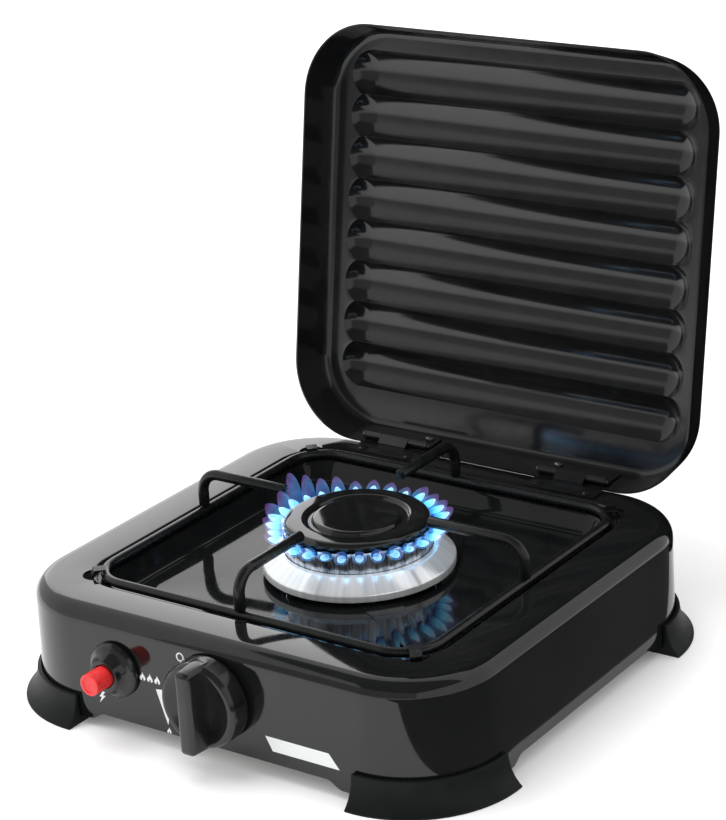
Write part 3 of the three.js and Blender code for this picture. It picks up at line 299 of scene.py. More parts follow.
def corner_arc(before, at, after, radius, count=10):
    """Points round the bend at one corner of a rod's line."""
    into, out = (before - at).normalized(), (after - at).normalized()
    reach = radius / math.tan(into.angle(out) / 2)
    start, end = at + into * reach, at + out * reach
    centre = at + (into + out).normalized() * math.hypot(reach, radius)
    axis = (start - centre).cross(end - centre).normalized()
    sweep = (start - centre).angle(end - centre)
    return [
        centre + Matrix.Rotation(sweep * i / count, 3, axis) @ (start - centre)
        for i in range(count + 1)
    ]


def joined(name, pieces):
    put_down()
    for piece in pieces:
        piece.select_set(True)
    bpy.context.view_layer.objects.active = pieces[0]
    if len(pieces) > 1:
        bpy.ops.object.join()
    pieces[0].name = name
    return pieces[0]


def copy_of(piece, name):
    pick_up(piece)
    bpy.ops.object.duplicate(linked=False)
    twin = bpy.context.object
    twin.name = name
    return twin


def cut_away(piece, tool, how="DIFFERENCE", overlapping=False):
    fix(piece, "BOOLEAN", operation=how, object=tool, solver="EXACT", use_self=overlapping)
    bpy.data.objects.remove(tool)


def drill(name, radius, start, end, sides=48):
    """A round cutter from start to end."""
    put_down()
    run = Vector(end) - Vector(start)
    bpy.ops.mesh.primitive_cylinder_add(
        vertices=sides,
        radius=radius,
        depth=run.length,
        location=(Vector(start) + Vector(end)) / 2,
        rotation=run.to_track_quat("Z", "Y").to_euler(),
    )
    tool = bpy.context.object
    tool.name = name
    return settle(tool)


def fit(piece, body, finish, replaces=()):
    """Hands a finished piece to its body, with its finish."""
    piece.data.materials.clear()
    piece.data.materials.append(finish)
    for face in piece.data.polygons:
        face.material_index = 0
    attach(piece, body)
    if replaces:
        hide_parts(*replaces)
    return piece


# ---------------------------------------------------------------- finishes


class Finish:
    """One material and the nodes laid down in it."""

    def __init__(self, name, color, roughness, metallic=0.0):
        self.material = bpy.data.materials.new(name)
        self.material.use_nodes = True
        self.tree = self.material.node_tree
        self.shader = self.tree.nodes["Principled BSDF"]
        self.shader.inputs["Base Color"].default_value = (*color, 1)
        self.shader.inputs["Roughness"].default_value = roughness
        self.shader.inputs["Metallic"].default_value = metallic
        self.coords = self.tree.nodes.new("ShaderNodeTexCoord").outputs["Object"]

    def link(self, out, into):
        self.tree.links.new(out, into)

    def placed(self, offset=(0, 0, 0), stretch=(1, 1, 1)):
        mapping = self.tree.nodes.new("ShaderNodeMapping")
        mapping.inputs["Location"].default_value = offset
        mapping.inputs["Scale"].default_value = stretch
        self.link(self.coords, mapping.inputs["Vector"])
        return mapping.outputs["Vector"]

    def grain(self, size, detail=3, roughness=0.55, stretch=(1, 1, 1)):
        """Noise whose features are about size mm across."""
        noise = self.tree.nodes.new("ShaderNodeTexNoise")
        noise.inputs["Scale"].default_value = 1 / (size * MM)
        noise.inputs["Detail"].default_value = detail
        noise.inputs["Roughness"].default_value = roughness
        self.link(self.placed(stretch=stretch), noise.inputs["Vector"])
        return noise.outputs["Fac"]

    def between(self, value, low, high, to_low, to_high):
        spread = self.tree.nodes.new("ShaderNodeMapRange")
        for key, number in (
            ("From Min", low),
            ("From Max", high),
            ("To Min", to_low),
            ("To Max", to_high),
        ):
            spread.inputs[key].default_value = number
        self.link(value, spread.inputs["Value"])
        return spread.outputs["Result"]

    def tint(self, value, dark, light, low=0.3, high=0.7):
        ramp = self.tree.nodes.new("ShaderNodeValToRGB")
        ramp.color_ramp.elements[0].position = low
        ramp.color_ramp.elements[0].color = (*dark, 1)
        ramp.color_ramp.elements[1].position = high
        ramp.color_ramp.elements[1].color = (*light, 1)
        self.link(value, ramp.inputs["Fac"])
        self.link(ramp.outputs["Color"], self.shader.inputs["Base Color"])

    def gloss(self, value, low, high):
        self.link(self.between(value, 0.3, 0.7, low, high), self.shader.inputs["Roughness"])

    def relief(self, value, depth, strength=1.0, under=None):
        """Bump of about depth mm; under is a bump it lies on."""
        bump = self.tree.nodes.new("ShaderNodeBump")
        bump.inputs["Strength"].default_value = strength
        bump.inputs["Distance"].default_value = depth * MM
        self.link(value, bump.inputs["Height"])
        if under:
            self.link(under, bump.inputs["Normal"])
        self.link(bump.outputs["Normal"], self.shader.inputs["Normal"])
        return bump.outputs["Normal"]

    def coat(self, weight, roughness=0.03, ior=1.5):
        self.shader.inputs["Coat Weight"].default_value = weight
        self.shader.inputs["Coat Roughness"].default_value = roughness
        self.shader.inputs["Coat IOR"].default_value = ior

    def gleam(self, ior):
        self.shader.inputs["IOR"].default_value = ior


def gloss_enamel():
    """Fired black enamel: a glassy coat with a slow orange peel."""
    made = Finish("gloss black enamel", (0.006, 0.0064, 0.0066), 0.06)
    made.gleam(1.49)
    made.coat(0.08, 0.02, 1.5)
    made.tint(made.grain(40, 4), (0.0045, 0.0049, 0.0052), (0.0085, 0.0088, 0.009))
    made.gloss(made.grain(9, 5, 0.6), 0.045, 0.095)
    peel = made.relief(made.grain(4.5, 2, 0.4), 0.006, 0.35)
    made.relief(made.grain(0.5, 2), 0.0012, 0.25, peel)
    return made.material


def recess_shade_enamel():
    """The enamel down in the recess, darker and less reflective than on the top: painted shade for
    the recess.
    """
    made = Finish("recess enamel with painted shade", (0.005, 0.0054, 0.0056), 0.05)
    made.gleam(1.3)
    made.tint(made.grain(25, 4), (0.004, 0.0044, 0.0046), (0.008, 0.0084, 0.0086))
    made.gloss(made.grain(7, 5, 0.6), 0.03, 0.075)
    peel = made.relief(made.grain(4.5, 2, 0.4), 0.005, 0.3)
    made.relief(made.grain(0.5, 2), 0.001, 0.25, peel)
    return made.material


def lid_enamel():
    """The same enamel on the lid, which takes a softer gloss."""
    made = Finish("lid enamel", (0.006, 0.0064, 0.0066), 0.12)
    made.gleam(1.49)
    made.coat(0.1, 0.06, 1.45)
    made.tint(made.grain(30, 4), (0.0048, 0.005, 0.0052), (0.009, 0.0092, 0.0094))
    made.gloss(made.grain(8, 5, 0.6), 0.10, 0.17)
    peel = made.relief(made.grain(4, 2, 0.4), 0.008, 0.4)
    made.relief(made.grain(0.45, 2), 0.0015, 0.3, peel)
    return made.material


def wire_enamel():
    """Thinner enamel on the rods, satin and a little uneven."""
    made = Finish("satin black wire", (0.005, 0.0055, 0.0057), 0.22)
    made.gleam(1.42)
    made.tint(made.grain(6, 4), (0.0042, 0.0046, 0.0048), (0.008, 0.0085, 0.0088))
    made.gloss(made.grain(2.5, 4), 0.2, 0.34)
    drips = made.relief(made.grain(9, 2), 0.012, 0.3)
    made.relief(made.grain(0.8, 2), 0.0008, 0.3, drips)
    return made.material


def moulded_black():
    """Matt plastic with a fine spark texture."""
    made = Finish("matt black plastic", (0.006, 0.0072, 0.007), 0.5)
    made.gleam(1.26)
    made.tint(made.grain(12, 4), (0.005, 0.006, 0.0058), (0.0075, 0.009, 0.0088))
    made.gloss(made.grain(1.2, 4), 0.42, 0.58)
    made.relief(made.grain(0.35, 3, 0.7), 0.03, 0.55)
    return made.material


def control_black():
    """Bright moulded plastic of the knob and collar, with faint handling marks."""
    made = Finish("gloss black plastic", (0.007, 0.0074, 0.0076), 0.14)
    made.gleam(1.52)
    made.tint(made.grain(7, 4), (0.006, 0.0064, 0.0066), (0.0105, 0.011, 0.0112))
    made.gloss(made.grain(3, 6, 0.7, (1, 1, 4)), 0.1, 0.24)
    made.relief(made.grain(0.4, 3), 0.003, 0.35)
    return made.material


def button_red():
    made = Finish("red button plastic", (0.72, 0.026, 0.028), 0.28)
    made.gleam(1.5)
    made.tint(made.grain(3, 4), (0.66, 0.02, 0.022), (0.80, 0.036, 0.038))
    made.gloss(made.grain(1.4, 5), 0.22, 0.36)
    made.shader.inputs["Subsurface Weight"].default_value = 0.12
    made.shader.inputs["Subsurface Scale"].default_value = 1.5 * MM
    made.relief(made.grain(0.4, 3), 0.003, 0.3)
    return made.material


def about_burner(made):
    """Turns round the burner's axis, as a number from -1 to 1, and the height, as a vector."""
    nodes = made.tree.nodes
    centred = made.placed(offset=(0, -BURNER.y, 0))
    split = nodes.new("ShaderNodeSeparateXYZ")
    made.link(centred, split.inputs["Vector"])
    angle = nodes.new("ShaderNodeMath")
    angle.operation = "ARCTAN2"
    made.link(split.outputs["Y"], angle.inputs[0])
    made.link(split.outputs["X"], angle.inputs[1])
    gathered = nodes.new("ShaderNodeCombineXYZ")
    made.link(angle.outputs["Value"], gathered.inputs["X"])
    made.link(split.outputs["Z"], gathered.inputs["Y"])
    return gathered.outputs["Vector"]


def streaked(made, count, height_share=1.5):
    """Streaks that run down a round wall, count of them to a radian."""
    stretch = made.tree.nodes.new("ShaderNodeMapping")
    stretch.inputs["Scale"].default_value = (count, height_share, 1)
    made.link(about_burner(made), stretch.inputs["Vector"])
    noise = made.tree.nodes.new("ShaderNodeTexNoise")
    noise.inputs["Scale"].default_value = 1
    noise.inputs["Detail"].default_value = 5
    noise.inputs["Roughness"].default_value = 0.65
    made.link(stretch.outputs["Vector"], noise.inputs["Vector"])
    return noise.outputs["Fac"]


def head_metal():
    """Turned steel under the flames, bright and dark in upright streaks."""
    made = Finish("burner head metal", (0.55, 0.57, 0.6), 0.26, 1.0)
    made.tint(streaked(made, 9), (0.22, 0.25, 0.30), (0.88, 0.92, 0.97), 0.38, 0.66)
    made.gloss(streaked(made, 60), 0.16, 0.38)
    made.relief(streaked(made, 90), 0.01, 0.35)
    return made.material


def ring_metal():
    """Polished stainless ring with a fine turned finish."""
    made = Finish("polished ring", (0.90, 0.91, 0.92), 0.16, 0.55)
    made.tint(streaked(made, 14), (0.72, 0.78, 0.82), (0.98, 0.98, 0.98), 0.36, 0.6)
    made.gloss(streaked(made, 40), 0.1, 0.26)
    made.relief(made.grain(0.6, 3, stretch=(1, 1, 6)), 0.006, 0.4)
    return made.material


def plain_steel(name="plain steel", color=(0.42, 0.43, 0.44), roughness=0.34):
    made = Finish(name, color, roughness, 1.0)
    made.tint(
        made.grain(3, 5),
        tuple(0.72 * c for c in color),
        tuple(min(1.15 * c, 1) for c in color),
    )
    made.gloss(made.grain(1.2, 5), roughness - 0.08, roughness + 0.12)
    made.relief(made.grain(0.4, 4, stretch=(1, 1, 5)), 0.01, 0.4)
    return made.material


def turned_brass():
    made = Finish("turned brass", (0.52, 0.34, 0.11), 0.28, 1.0)
    made.tint(made.grain(5, 5), (0.36, 0.22, 0.07), (0.62, 0.43, 0.16))
    made.gloss(made.grain(1.5, 5), 0.2, 0.42)
    made.relief(made.grain(0.3, 3, stretch=(1, 6, 1)), 0.008, 0.4)
    return made.material


def glazed_ceramic():
    made = Finish("glazed ceramic", (0.78, 0.75, 0.69), 0.2)
    made.tint(made.grain(2.5, 4), (0.70, 0.66, 0.60), (0.84, 0.82, 0.77))
    made.gloss(made.grain(2, 4), 0.14, 0.3)
    made.relief(made.grain(0.8, 3), 0.01, 0.3)
    return made.material


def wire_cover():
    made = Finish("wire insulation", (0.26, 0.03, 0.022), 0.5)
    made.tint(made.grain(2, 4), (0.2, 0.022, 0.016), (0.32, 0.042, 0.03))
    made.gloss(made.grain(0.8, 4), 0.42, 0.6)
    made.relief(made.grain(0.3, 3), 0.01, 0.4)
    return made.material


def printed_white():
    """Screen-printed ink."""
    made = Finish("white print", (0.80, 0.82, 0.82), 0.42)
    made.tint(made.grain(0.7, 4, 0.7), (0.68, 0.70, 0.70), (0.86, 0.88, 0.88))
    made.gloss(made.grain(0.6, 4), 0.34, 0.52)
    made.relief(made.grain(0.2, 3), 0.004, 0.4)
    return made.material


def flame_glow(name, low, middle, high, strength, thin):
    """Burning gas: light that adds to what is behind it, coloured by its height in the flame."""
    material = bpy.data.materials.new(name)
    material.use_nodes = True
    tree = material.node_tree
    tree.nodes.clear()
    out = tree.nodes.new("ShaderNodeOutputMaterial")
    reach = tree.nodes.new("ShaderNodeAttribute")
    reach.attribute_name = "reach"
    wisps = tree.nodes.new("ShaderNodeTexNoise")
    wisps.inputs["Scale"].default_value = 260
    wisps.inputs["Detail"].default_value = 3
    coords = tree.nodes.new("ShaderNodeTexCoord")
    tree.links.new(coords.outputs["Object"], wisps.inputs["Vector"])
    ramp = tree.nodes.new("ShaderNodeValToRGB")
    stops = ramp.color_ramp.elements
    stops[0].position, stops[0].color = 0.05, (*low, 1)
    stops[1].position, stops[1].color = 0.95, (*high, 1)
    mid = stops.new(0.42)
    mid.color = (*middle, 1)
    tree.links.new(reach.outputs["Fac"], ramp.inputs["Fac"])
    fade = tree.nodes.new("ShaderNodeMapRange")
    fade.inputs["From Min"].default_value = 0.35
    fade.inputs["From Max"].default_value = 1.0
    fade.inputs["To Min"].default_value = strength
    fade.inputs["To Max"].default_value = strength * thin
    tree.links.new(reach.outputs["Fac"], fade.inputs["Value"])
    wave = tree.nodes.new("ShaderNodeMapRange")
    wave.inputs["From Min"].default_value = 0.3
    wave.inputs["From Max"].default_value = 0.7
    wave.inputs["To Min"].default_value = 0.55
    wave.inputs["To Max"].default_value = 1.25
    tree.links.new(wisps.outputs["Fac"], wave.inputs["Value"])
    power = tree.nodes.new("ShaderNodeMath")
    power.operation = "MULTIPLY"
    tree.links.new(fade.outputs["Result"], power.inputs[0])
    tree.links.new(wave.outputs["Result"], power.inputs[1])
    light = tree.nodes.new("ShaderNodeEmission")
    tree.links.new(ramp.outputs["Color"], light.inputs["Color"])
    tree.links.new(power.outputs["Value"], light.inputs["Strength"])
    clear = tree.nodes.new("ShaderNodeBsdfTransparent")
    both = tree.nodes.new("ShaderNodeAddShader")
    tree.links.new(light.outputs["Emission"], both.inputs[0])
    tree.links.new(clear.outputs["BSDF"], both.inputs[1])
    tree.links.new(both.outputs["Shader"], out.inputs["Surface"])
    return material


ENAMEL = gloss_enamel()
RECESS_SHADE_ENAMEL = recess_shade_enamel()
LID_ENAMEL = lid_enamel()
WIRE = wire_enamel()
FOOT_PLASTIC = moulded_black()
CONTROL_PLASTIC = control_black()
BUTTON_RED = button_red()
HEAD_METAL = head_metal()
RING_METAL = ring_metal()
STEEL = plain_steel()
DARK_STEEL = plain_steel("blackened steel", (0.05, 0.052, 0.055), 0.4)
BRASS = turned_brass()
CERAMIC = glazed_ceramic()
INSULATION = wire_cover()
PRINT = printed_white()

# ---------------------------------------------------------------- pressed body


def body_wall():
    """Outer wall, rolled over its top edge on to the flat top."""
    plate = rounded_plate(
        "body", 2 * BODY_HALF_X, 2 * BODY_HALF_Y, BODY_CORNER, (0, BODY_Y, EDGE_Z * MM), 20
    )
    spring = BODY_TOP / MM - TOP_FILLET - EDGE_Z
    line = [(0, 0), (0.1, 4), (0.7, spring)]
    line += quarter((0.7, spring), TOP_FILLET, 9)
    draw_in(plate, steps_between(line))
    open_mesh(plate)
    choose(plate, lambda p, n: p.z > BODY_TOP - 1e-5 and n.z > 0.9)
    bpy.ops.mesh.delete(type="FACE")
    close_mesh()
    return plate


def recess_press():
    """The pan pressed into the top: rolled edge, shoulder for the wire frame, wall and floor."""
    pan = rounded_plate("recess", 213.6 * MM, 206.9 * MM, 27 * MM, RECESS_MIDDLE, 20)
    line = [(0, 0), (0.5, -0.08), (1, -0.3), (1.5, -0.75), (1.9, -1.4), (2.2, -2.1), (2.5, -2.7)]
    line += [(3, -3.1), (3.8, -3.25), (8.2, -3.55), (9, -3.75), (9.6, -4.3), (10.1, -5.1)]
    line += [(13.3, -10.3), (14, -11.3), (14.8, -12.2), (16, -12.85), (17.3, -13.12)]
    line += [(18.3, -RECESS_DEPTH)]
    draw_in(pan, steps_between(line))
    return pan


def ramp_down(piece, sign, axis, half):
    """Cuts the bottom of the wall beside one foot into strips, where drop_edge later lowers the
    edge by a smooth slope.
    """
    stations = [half - RAMP_END + RAMP * (1 - k / 8) for k in range(9)]
    normal = (1, 0, 0) if axis == 0 else (0, 1, 0)
    centre = Vector((0, BODY_Y, 0))
    open_mesh(piece)
    for place in stations:
        choose(piece, lambda p, n: p.z < 13 * MM and abs(n[axis]) < 0.5)
        at = centre + Vector(normal) * sign * place
        bpy.ops.mesh.bisect(plane_co=at, plane_no=normal)
    close_mesh()


def drop_edge(piece):
    """Moves the bottom edge's vertices down beside the feet."""
    drops = {}
    for vert in piece.data.vertices:
        if vert.co.z > (EDGE_Z + 0.1) * MM:
            continue
        x, y = abs(vert.co.x), abs(vert.co.y - BODY_Y)
        on_side = abs(x - BODY_HALF_X) < abs(y - BODY_HALF_Y)
        at, half = (y, BODY_HALF_Y) if on_side else (x, BODY_HALF_X)
        t = min(max((at - half + RAMP_END) / RAMP, 0), 1)
        drops.setdefault(round(EDGE_DROP * t * t * (3 - 2 * t), 3), []).append(vert.index)
    for drop, verts in drops.items():
        if drop == 0:
            continue
        open_mesh(piece, "VERT")
        cage = bmesh.from_edit_mesh(piece.data)
        cage.verts.ensure_lookup_table()
        for index in verts:
            cage.verts[index].select_set(True)
        bmesh.update_edit_mesh(piece.data)
        bpy.ops.transform.translate(value=(0, 0, -drop * MM))
        close_mesh()


def press_body():
    wall, pan = body_wall(), recess_press()
    for sign in (-1, 1):
        ramp_down(wall, sign, 0, BODY_HALF_X)
        ramp_down(wall, sign, 1, BODY_HALF_Y)
    open_mesh(pan)
    choose(pan, lambda p, n: p.z < FLOOR_Z + 1e-5 and n.z > 0.9)
    bpy.ops.mesh.delete(type="FACE")
    close_mesh()
    put_down()
    bpy.ops.mesh.primitive_circle_add(
        vertices=84, radius=29.2 * MM, location=(0, BURNER.y, FLOOR_Z),
        rotation=(0, 0, math.pi / 84),
    )  # fmt: skip
    hole = settle(bpy.context.object)
    shell = joined("body_shell_pressed", [wall, pan, hole])
    open_mesh(shell, "EDGE")
    choose(shell, lambda a, b: min(a.z, b.z) > BODY_TOP - 1e-6, "EDGE")
    bpy.ops.mesh.bridge_edge_loops()
    choose(
        shell,
        lambda a, b: max(a.z, b.z) < FLOOR_Z + 1e-6 and min(a.z, b.z) > FLOOR_Z - 1e-6,
        "EDGE",
    )
    bpy.ops.mesh.bridge_edge_loops()
    close_mesh()
    drop_edge(shell)
    clean(shell)
    return shell


def holes_in_body():
    """Cutters for the controls, igniter, pipe and clips."""
    front, back = PANEL_Y - 5 * MM, PANEL_Y + 8 * MM
    tools = [
        drill("hole", 7.9 * MM, (KNOB.x, front, KNOB.z), (KNOB.x, back, KNOB.z)),
        drill("hole", 8.3 * MM, (IGNITER.x, front, IGNITER.z), (IGNITER.x, back, IGNITER.z)),
    ]
    low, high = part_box("gas_pipe")
    rear = 2 * BODY_Y - PANEL_Y
    x, z = high.x - 3 * MM, low.z + 3 * MM
    tools.append(drill("hole", 3.3 * MM, (x, rear - 8 * MM, z), (x, rear + 5 * MM, z)))
    low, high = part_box("electrode_ceramic")
    x, y = (low.x + high.x) / 2, (low.y + high.y) / 2
    tools.append(drill("hole", 2.6 * MM, (x, y, FLOOR_Z - 6 * MM), (x, y, FLOOR_Z + 3 * MM)))
    for node in ("front_left", "front_right", "rear_left", "rear_right"):
        low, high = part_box("support_clip_" + node)
        side = Vector((1 if low.x > 0 else -1, 1 if low.y > BURNER.y else -1, 0))
        middle = (low + high) / 2 + side * 0.9 * MM
        tools.append(
            drill(
                "hole",
                7 * MM,
                (middle.x, middle.y, BODY_TOP - 2.4 * MM),
                (middle.x, middle.y, BODY_TOP + 5 * MM),
            )
        )
    return joined("holes", tools)


shell = press_body()
fix(shell, "SOLIDIFY", thickness=SHEET, offset=-1, use_even_offset=True)
cut_away(shell, holes_in_body(), overlapping=True)
smooth(shell, 28)
fit(shell, "base", ENAMEL, ["body_shell"])
shell.data.materials.append(RECESS_SHADE_ENAMEL)
PAN_HALF = 104.2 * MM
PAN_NARROWER = 3.3 * MM  # the pan is this much shorter from front to rear, each way
# Faces down in the recess take the darker enamel: painted shade in the recess.
for face in shell.data.polygons:
    out = max(abs(face.center.x), abs(face.center.y - BURNER.y) + PAN_NARROWER)
    if out < PAN_HALF and FLOOR_Z - 2 * MM < face.center.z < BODY_TOP - 0.4 * MM:
        face.material_index = 1

# ---------------------------------------------------------------- feet

FOOT_LINE = [
    (0.3, 16.5), (2.3, 16.5), (2.6, 13.8), (3.2, 10.8), (4.2, 7.8), (5.7, 5), (7.6, 2.6),
    (8.9, 1.3), (9.5, 0.9), (9.5, 0), (-6, 0), (-6, 4.2), (0.3, 4.2),
]  # fmt: skip
FOOT_ROUNDS = [0.7, 0.9, 1.5, 1.5, 1.5, 1.5, 1, 0.5, 0.4, 0.6, 0.6, 0.6, 0]
FOOT_STRAIGHT = 2 * MM


def mould_foot():
    """One foot, swept round the front right corner and run on a little along both walls."""
    centre = Vector((BODY_HALF_X - BODY_CORNER, BODY_Y - BODY_HALF_Y + BODY_CORNER, 0))
    line = round_off(FOOT_LINE + FOOT_LINE[:1], FOOT_ROUNDS)
    points = [(centre.x + BODY_CORNER + r * MM, centre.y, z * MM) for r, z in line]
    foot = outline("foot", points)
    clean(foot)
    fill_and_draw(foot, (0, FOOT_STRAIGHT, 0))
    choose(foot, lambda p, n: p.y < centre.y + 1e-6)
    bpy.ops.mesh.spin(steps=28, angle=math.pi / 2, center=centre, axis=(0, 0, 1))
    bpy.ops.mesh.extrude_region_move(TRANSFORM_OT_translate={"value": (-FOOT_STRAIGHT, 0, 0)})
    close_mesh()
    clean(foot)
    soften(foot, 0.5, 3, 50)
    return foot


first_foot = mould_foot()
for name, flip_x, flip_y in (
    ("front_right", 1, 1),
    ("front_left", -1, 1),
    ("rear_right", 1, -1),
    ("rear_left", -1, -1),
):
    foot = copy_of(first_foot, "foot_moulded_" + name)
    foot.data.transform(
        Matrix.Translation((0, BODY_Y, 0))
        @ Matrix.Diagonal((flip_x, flip_y, 1, 1))
        @ Matrix.Translation((0, -BODY_Y, 0))
    )
    clean(foot)
    smooth(foot, 35)
    fit(foot, "base", FOOT_PLASTIC, ["foot_" + name])
bpy.data.objects.remove(first_foot)

# ---------------------------------------------------------------- pan support

frame_low, frame_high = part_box("support_frame")
frame_z = (frame_low.z + frame_high.z) / 2
FRAME_ROD = 2.5 * MM
FRAME_CORNER = 20.4 * MM
PRONG_ROD = 2.9 * MM
PRONG_BEND = 11 * MM


def wire_frame():
    half = Vector((frame_high.x - FRAME_ROD, (frame_high.y - frame_low.y) / 2 - FRAME_ROD, 0))
    corners = [
        Vector((sx * half.x, BURNER.y + sy * half.y, frame_z))
        for sx, sy in ((1, -1), (1, 1), (-1, 1), (-1, -1))
    ]
    points = []
    for i in range(4):
        points += corner_arc(corners[i - 1], corners[i], corners[(i + 1) % 4], FRAME_CORNER, 12)
    return bent_rod("pan_frame_rod", points, FRAME_ROD, closed=True)


fit(smooth(wire_frame(), 60), "base", WIRE, ["support_frame"])


def prong(name):
    """A rod that stands on the frame and bends in over the burner."""
    low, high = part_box("support_prong_" + name)
    across = name in ("left", "right")
    outer, inner = (low.x, high.x) if name == "left" else (high.x, low.x)
    if not across:
        outer, inner = (low.y, high.y) if name == "front" else (high.y, low.y)
    away = 1 if outer > inner else -1
    stand = outer - away * PRONG_ROD
    side = ((low.y + high.y) / 2) if across else ((low.x + high.x) / 2)
    place = (lambda run, z: Vector((run, side, z))) if across else (
        lambda run, z: Vector((side, run, z))
    )
    foot, bend, tip = (
        place(stand, low.z + 0.01 * MM),
        place(stand, high.z - PRONG_ROD),
        place(inner, high.z - PRONG_ROD),
    )
    points = [foot, *corner_arc(foot, bend, tip, PRONG_BEND, 14), tip]
    piece = bent_rod("prong_rod_" + name, points, PRONG_ROD)
    soften(piece, 0.35, 2, 60)
    fit(smooth(piece, 45), "base", WIRE, ["support_prong_" + name])


for name in ("front", "rear", "left", "right"):
    prong(name)

# ---------------------------------------------------------------- burner

PORTS = 30
CAP_HEIGHT = 7.7
CAP_LINE = [
    (0, CAP_HEIGHT), (21.4, CAP_HEIGHT), (22.7, 7.2), (23.5, 5.4), (26.2, 5.4), (27.1, 6.7),
    (28.2, 7.3), (35.8, 7.1), (37.8, 5.6), (37.8, 3.5), (36.9, 3.2), (30.6, 3.2), (30.6, 0.1),
    (0, 0.1),
]  # fmt: skip
CAP_ROUNDS = [0.8, 0.7, 0.5, 0.5, 0.7, 0.8, 1.5, 1.2, 0.5, 0.4, 0.2, 0.3]
HEAD_WALL = 12.6  # up to the bottom of the ports


def spun_cap():
    line = round_off(CAP_LINE, CAP_ROUNDS, 4)
    base = Vector((BURNER.x, BURNER.y, CAP_TOP - CAP_HEIGHT * MM))
    return lathe("burner_cap_spun", line, base, steps=112)


fit(smooth(spun_cap(), 50), "base", ENAMEL, ["burner_cap"])


def ported_head():
    """Steel drum with flame ports sawn across its rim."""
    wall = [
        (24.2, 0), (38.6, 0), (38.6, HEAD_WALL), (34.6, HEAD_WALL), (34.6, 2), (24.2, 2),
        (24.2, 0),
    ]  # fmt: skip
    drum = lathe("burner_head_ported", wall, Vector((0, BURNER.y, head_low.z)), steps=120)
    top = head_low.z + HEAD_WALL * MM
    open_mesh(drum)

    def is_tooth(p, n):
        if n.z < 0.9 or p.z < top - 1e-5:
            return False
        turn = math.degrees(math.atan2(p.y - BURNER.y, p.x)) % (360 / PORTS)
        return not 4.4 < turn < 7.6

    choose(drum, is_tooth)
    bpy.ops.mesh.extrude_region_move(TRANSFORM_OT_translate={"value": (0, 0, head_high.z - top)})
    close_mesh()
    clean(drum)
    soften(drum, 0.25, 2, 50)
    return drum


fit(smooth(ported_head(), 35), "base", HEAD_METAL, ["burner_head"])


def flame_ring():
    """Conical ring round the head, with a thin lip."""
    z = lambda up: ring_high.z / MM - up
    line = [
        (38.9, z(0)), (42, z(0)), (50.2, z(6.7)), (50.2, z(10.4)), (49.2, z(10.4)), (49.2, z(7.2)),
        (41.6, z(1.1)), (38.9, z(1.1)), (38.9, z(0)),
    ]  # fmt: skip
    line = round_off(line, [0.8, 1.0, 0.3, 0.3, 0.3, 0.4, 0.3], 4)
    ring = lathe("flame_ring_polished", line, Vector((0, BURNER.y, 0)), steps=144)
    low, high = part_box("electrode_ceramic")
    x, y = (low.x + high.x) / 2, (low.y + high.y) / 2
    low_end, high_end = (x, y, ring_low.z - 5 * MM), (x, y, ring_high.z + 5 * MM)
    cut_away(ring, drill("hole", 2.6 * MM, low_end, high_end))
    return ring


ring = smooth(flame_ring(), 30)
fit(ring, "base", RING_METAL, ["burner_ring"])

# ---------------------------------------------------------------- lid


LID_LENGTH = 233.6
LID_WIDTH = 252.2
LID_SHEET = 1
LID_DEPTH = 22.8
LID_BEHIND_PIN = 4.2
LID_RIM_Z = PIN.z - 3.1 * MM
RIB_COUNT = 8
RIB_PITCH = 23.5 * MM
RIB_RADIUS = 17.59
RIB_BULGE = 6.5
RIB_REACH = 95.64  # from the middle to the centre of a rib's round end


def lid_hollow():
    """The space inside the closed lid, its floor upwards: a tapered tray shape."""
    middle = PIN.y / MM + LID_BEHIND_PIN - LID_LENGTH / 2
    plate = rounded_plate(
        "lid", (LID_WIDTH - 2 * LID_SHEET) * MM, (LID_LENGTH - 2 * LID_SHEET) * MM, 41 * MM,
        (0, middle * MM, LID_RIM_Z), 20,
    )  # fmt: skip
    line = [(0, 0), (0.83, 4), (2.6, 13), (3.8, 18.8)]
    line += [(4.05, 19.9), (4.5, 20.9), (5.2, 21.75), (6.1, 22.35), (7.1, 22.7), (8.2, LID_DEPTH)]
    draw_in(plate, steps_between(line))
    open_mesh(plate)
    choose(plate, lambda p, n: n.z < -0.5)
    bpy.ops.mesh.delete(type="FACE")
    close_mesh()
    return plate


def rib_former(y, floor):
    """A long round-ended former that presses one rib through the lid's floor."""
    put_down()
    bpy.ops.mesh.primitive_uv_sphere_add(
        segments=72, ring_count=36, radius=RIB_RADIUS * MM, rotation=(0, math.pi / 2, 0),
        location=(-RIB_REACH * MM, y, floor + (RIB_BULGE - RIB_RADIUS) * MM),
    )  # fmt: skip
    former = settle(bpy.context.object)
    open_mesh(former)
    choose(former, lambda p, n: p.x > -RIB_REACH * MM)
    bpy.ops.mesh.extrude_region_move(
        TRANSFORM_OT_translate={"value": (2 * RIB_REACH * MM, 0, 0)}
    )
    bpy.ops.mesh.select_all(action="SELECT")
    bpy.ops.mesh.bisect(
        plane_co=(0, 0, floor - 3 * MM), plane_no=(0, 0, 1), clear_inner=True, use_fill=True
    )
    close_mesh()
    clean(former)
    return former


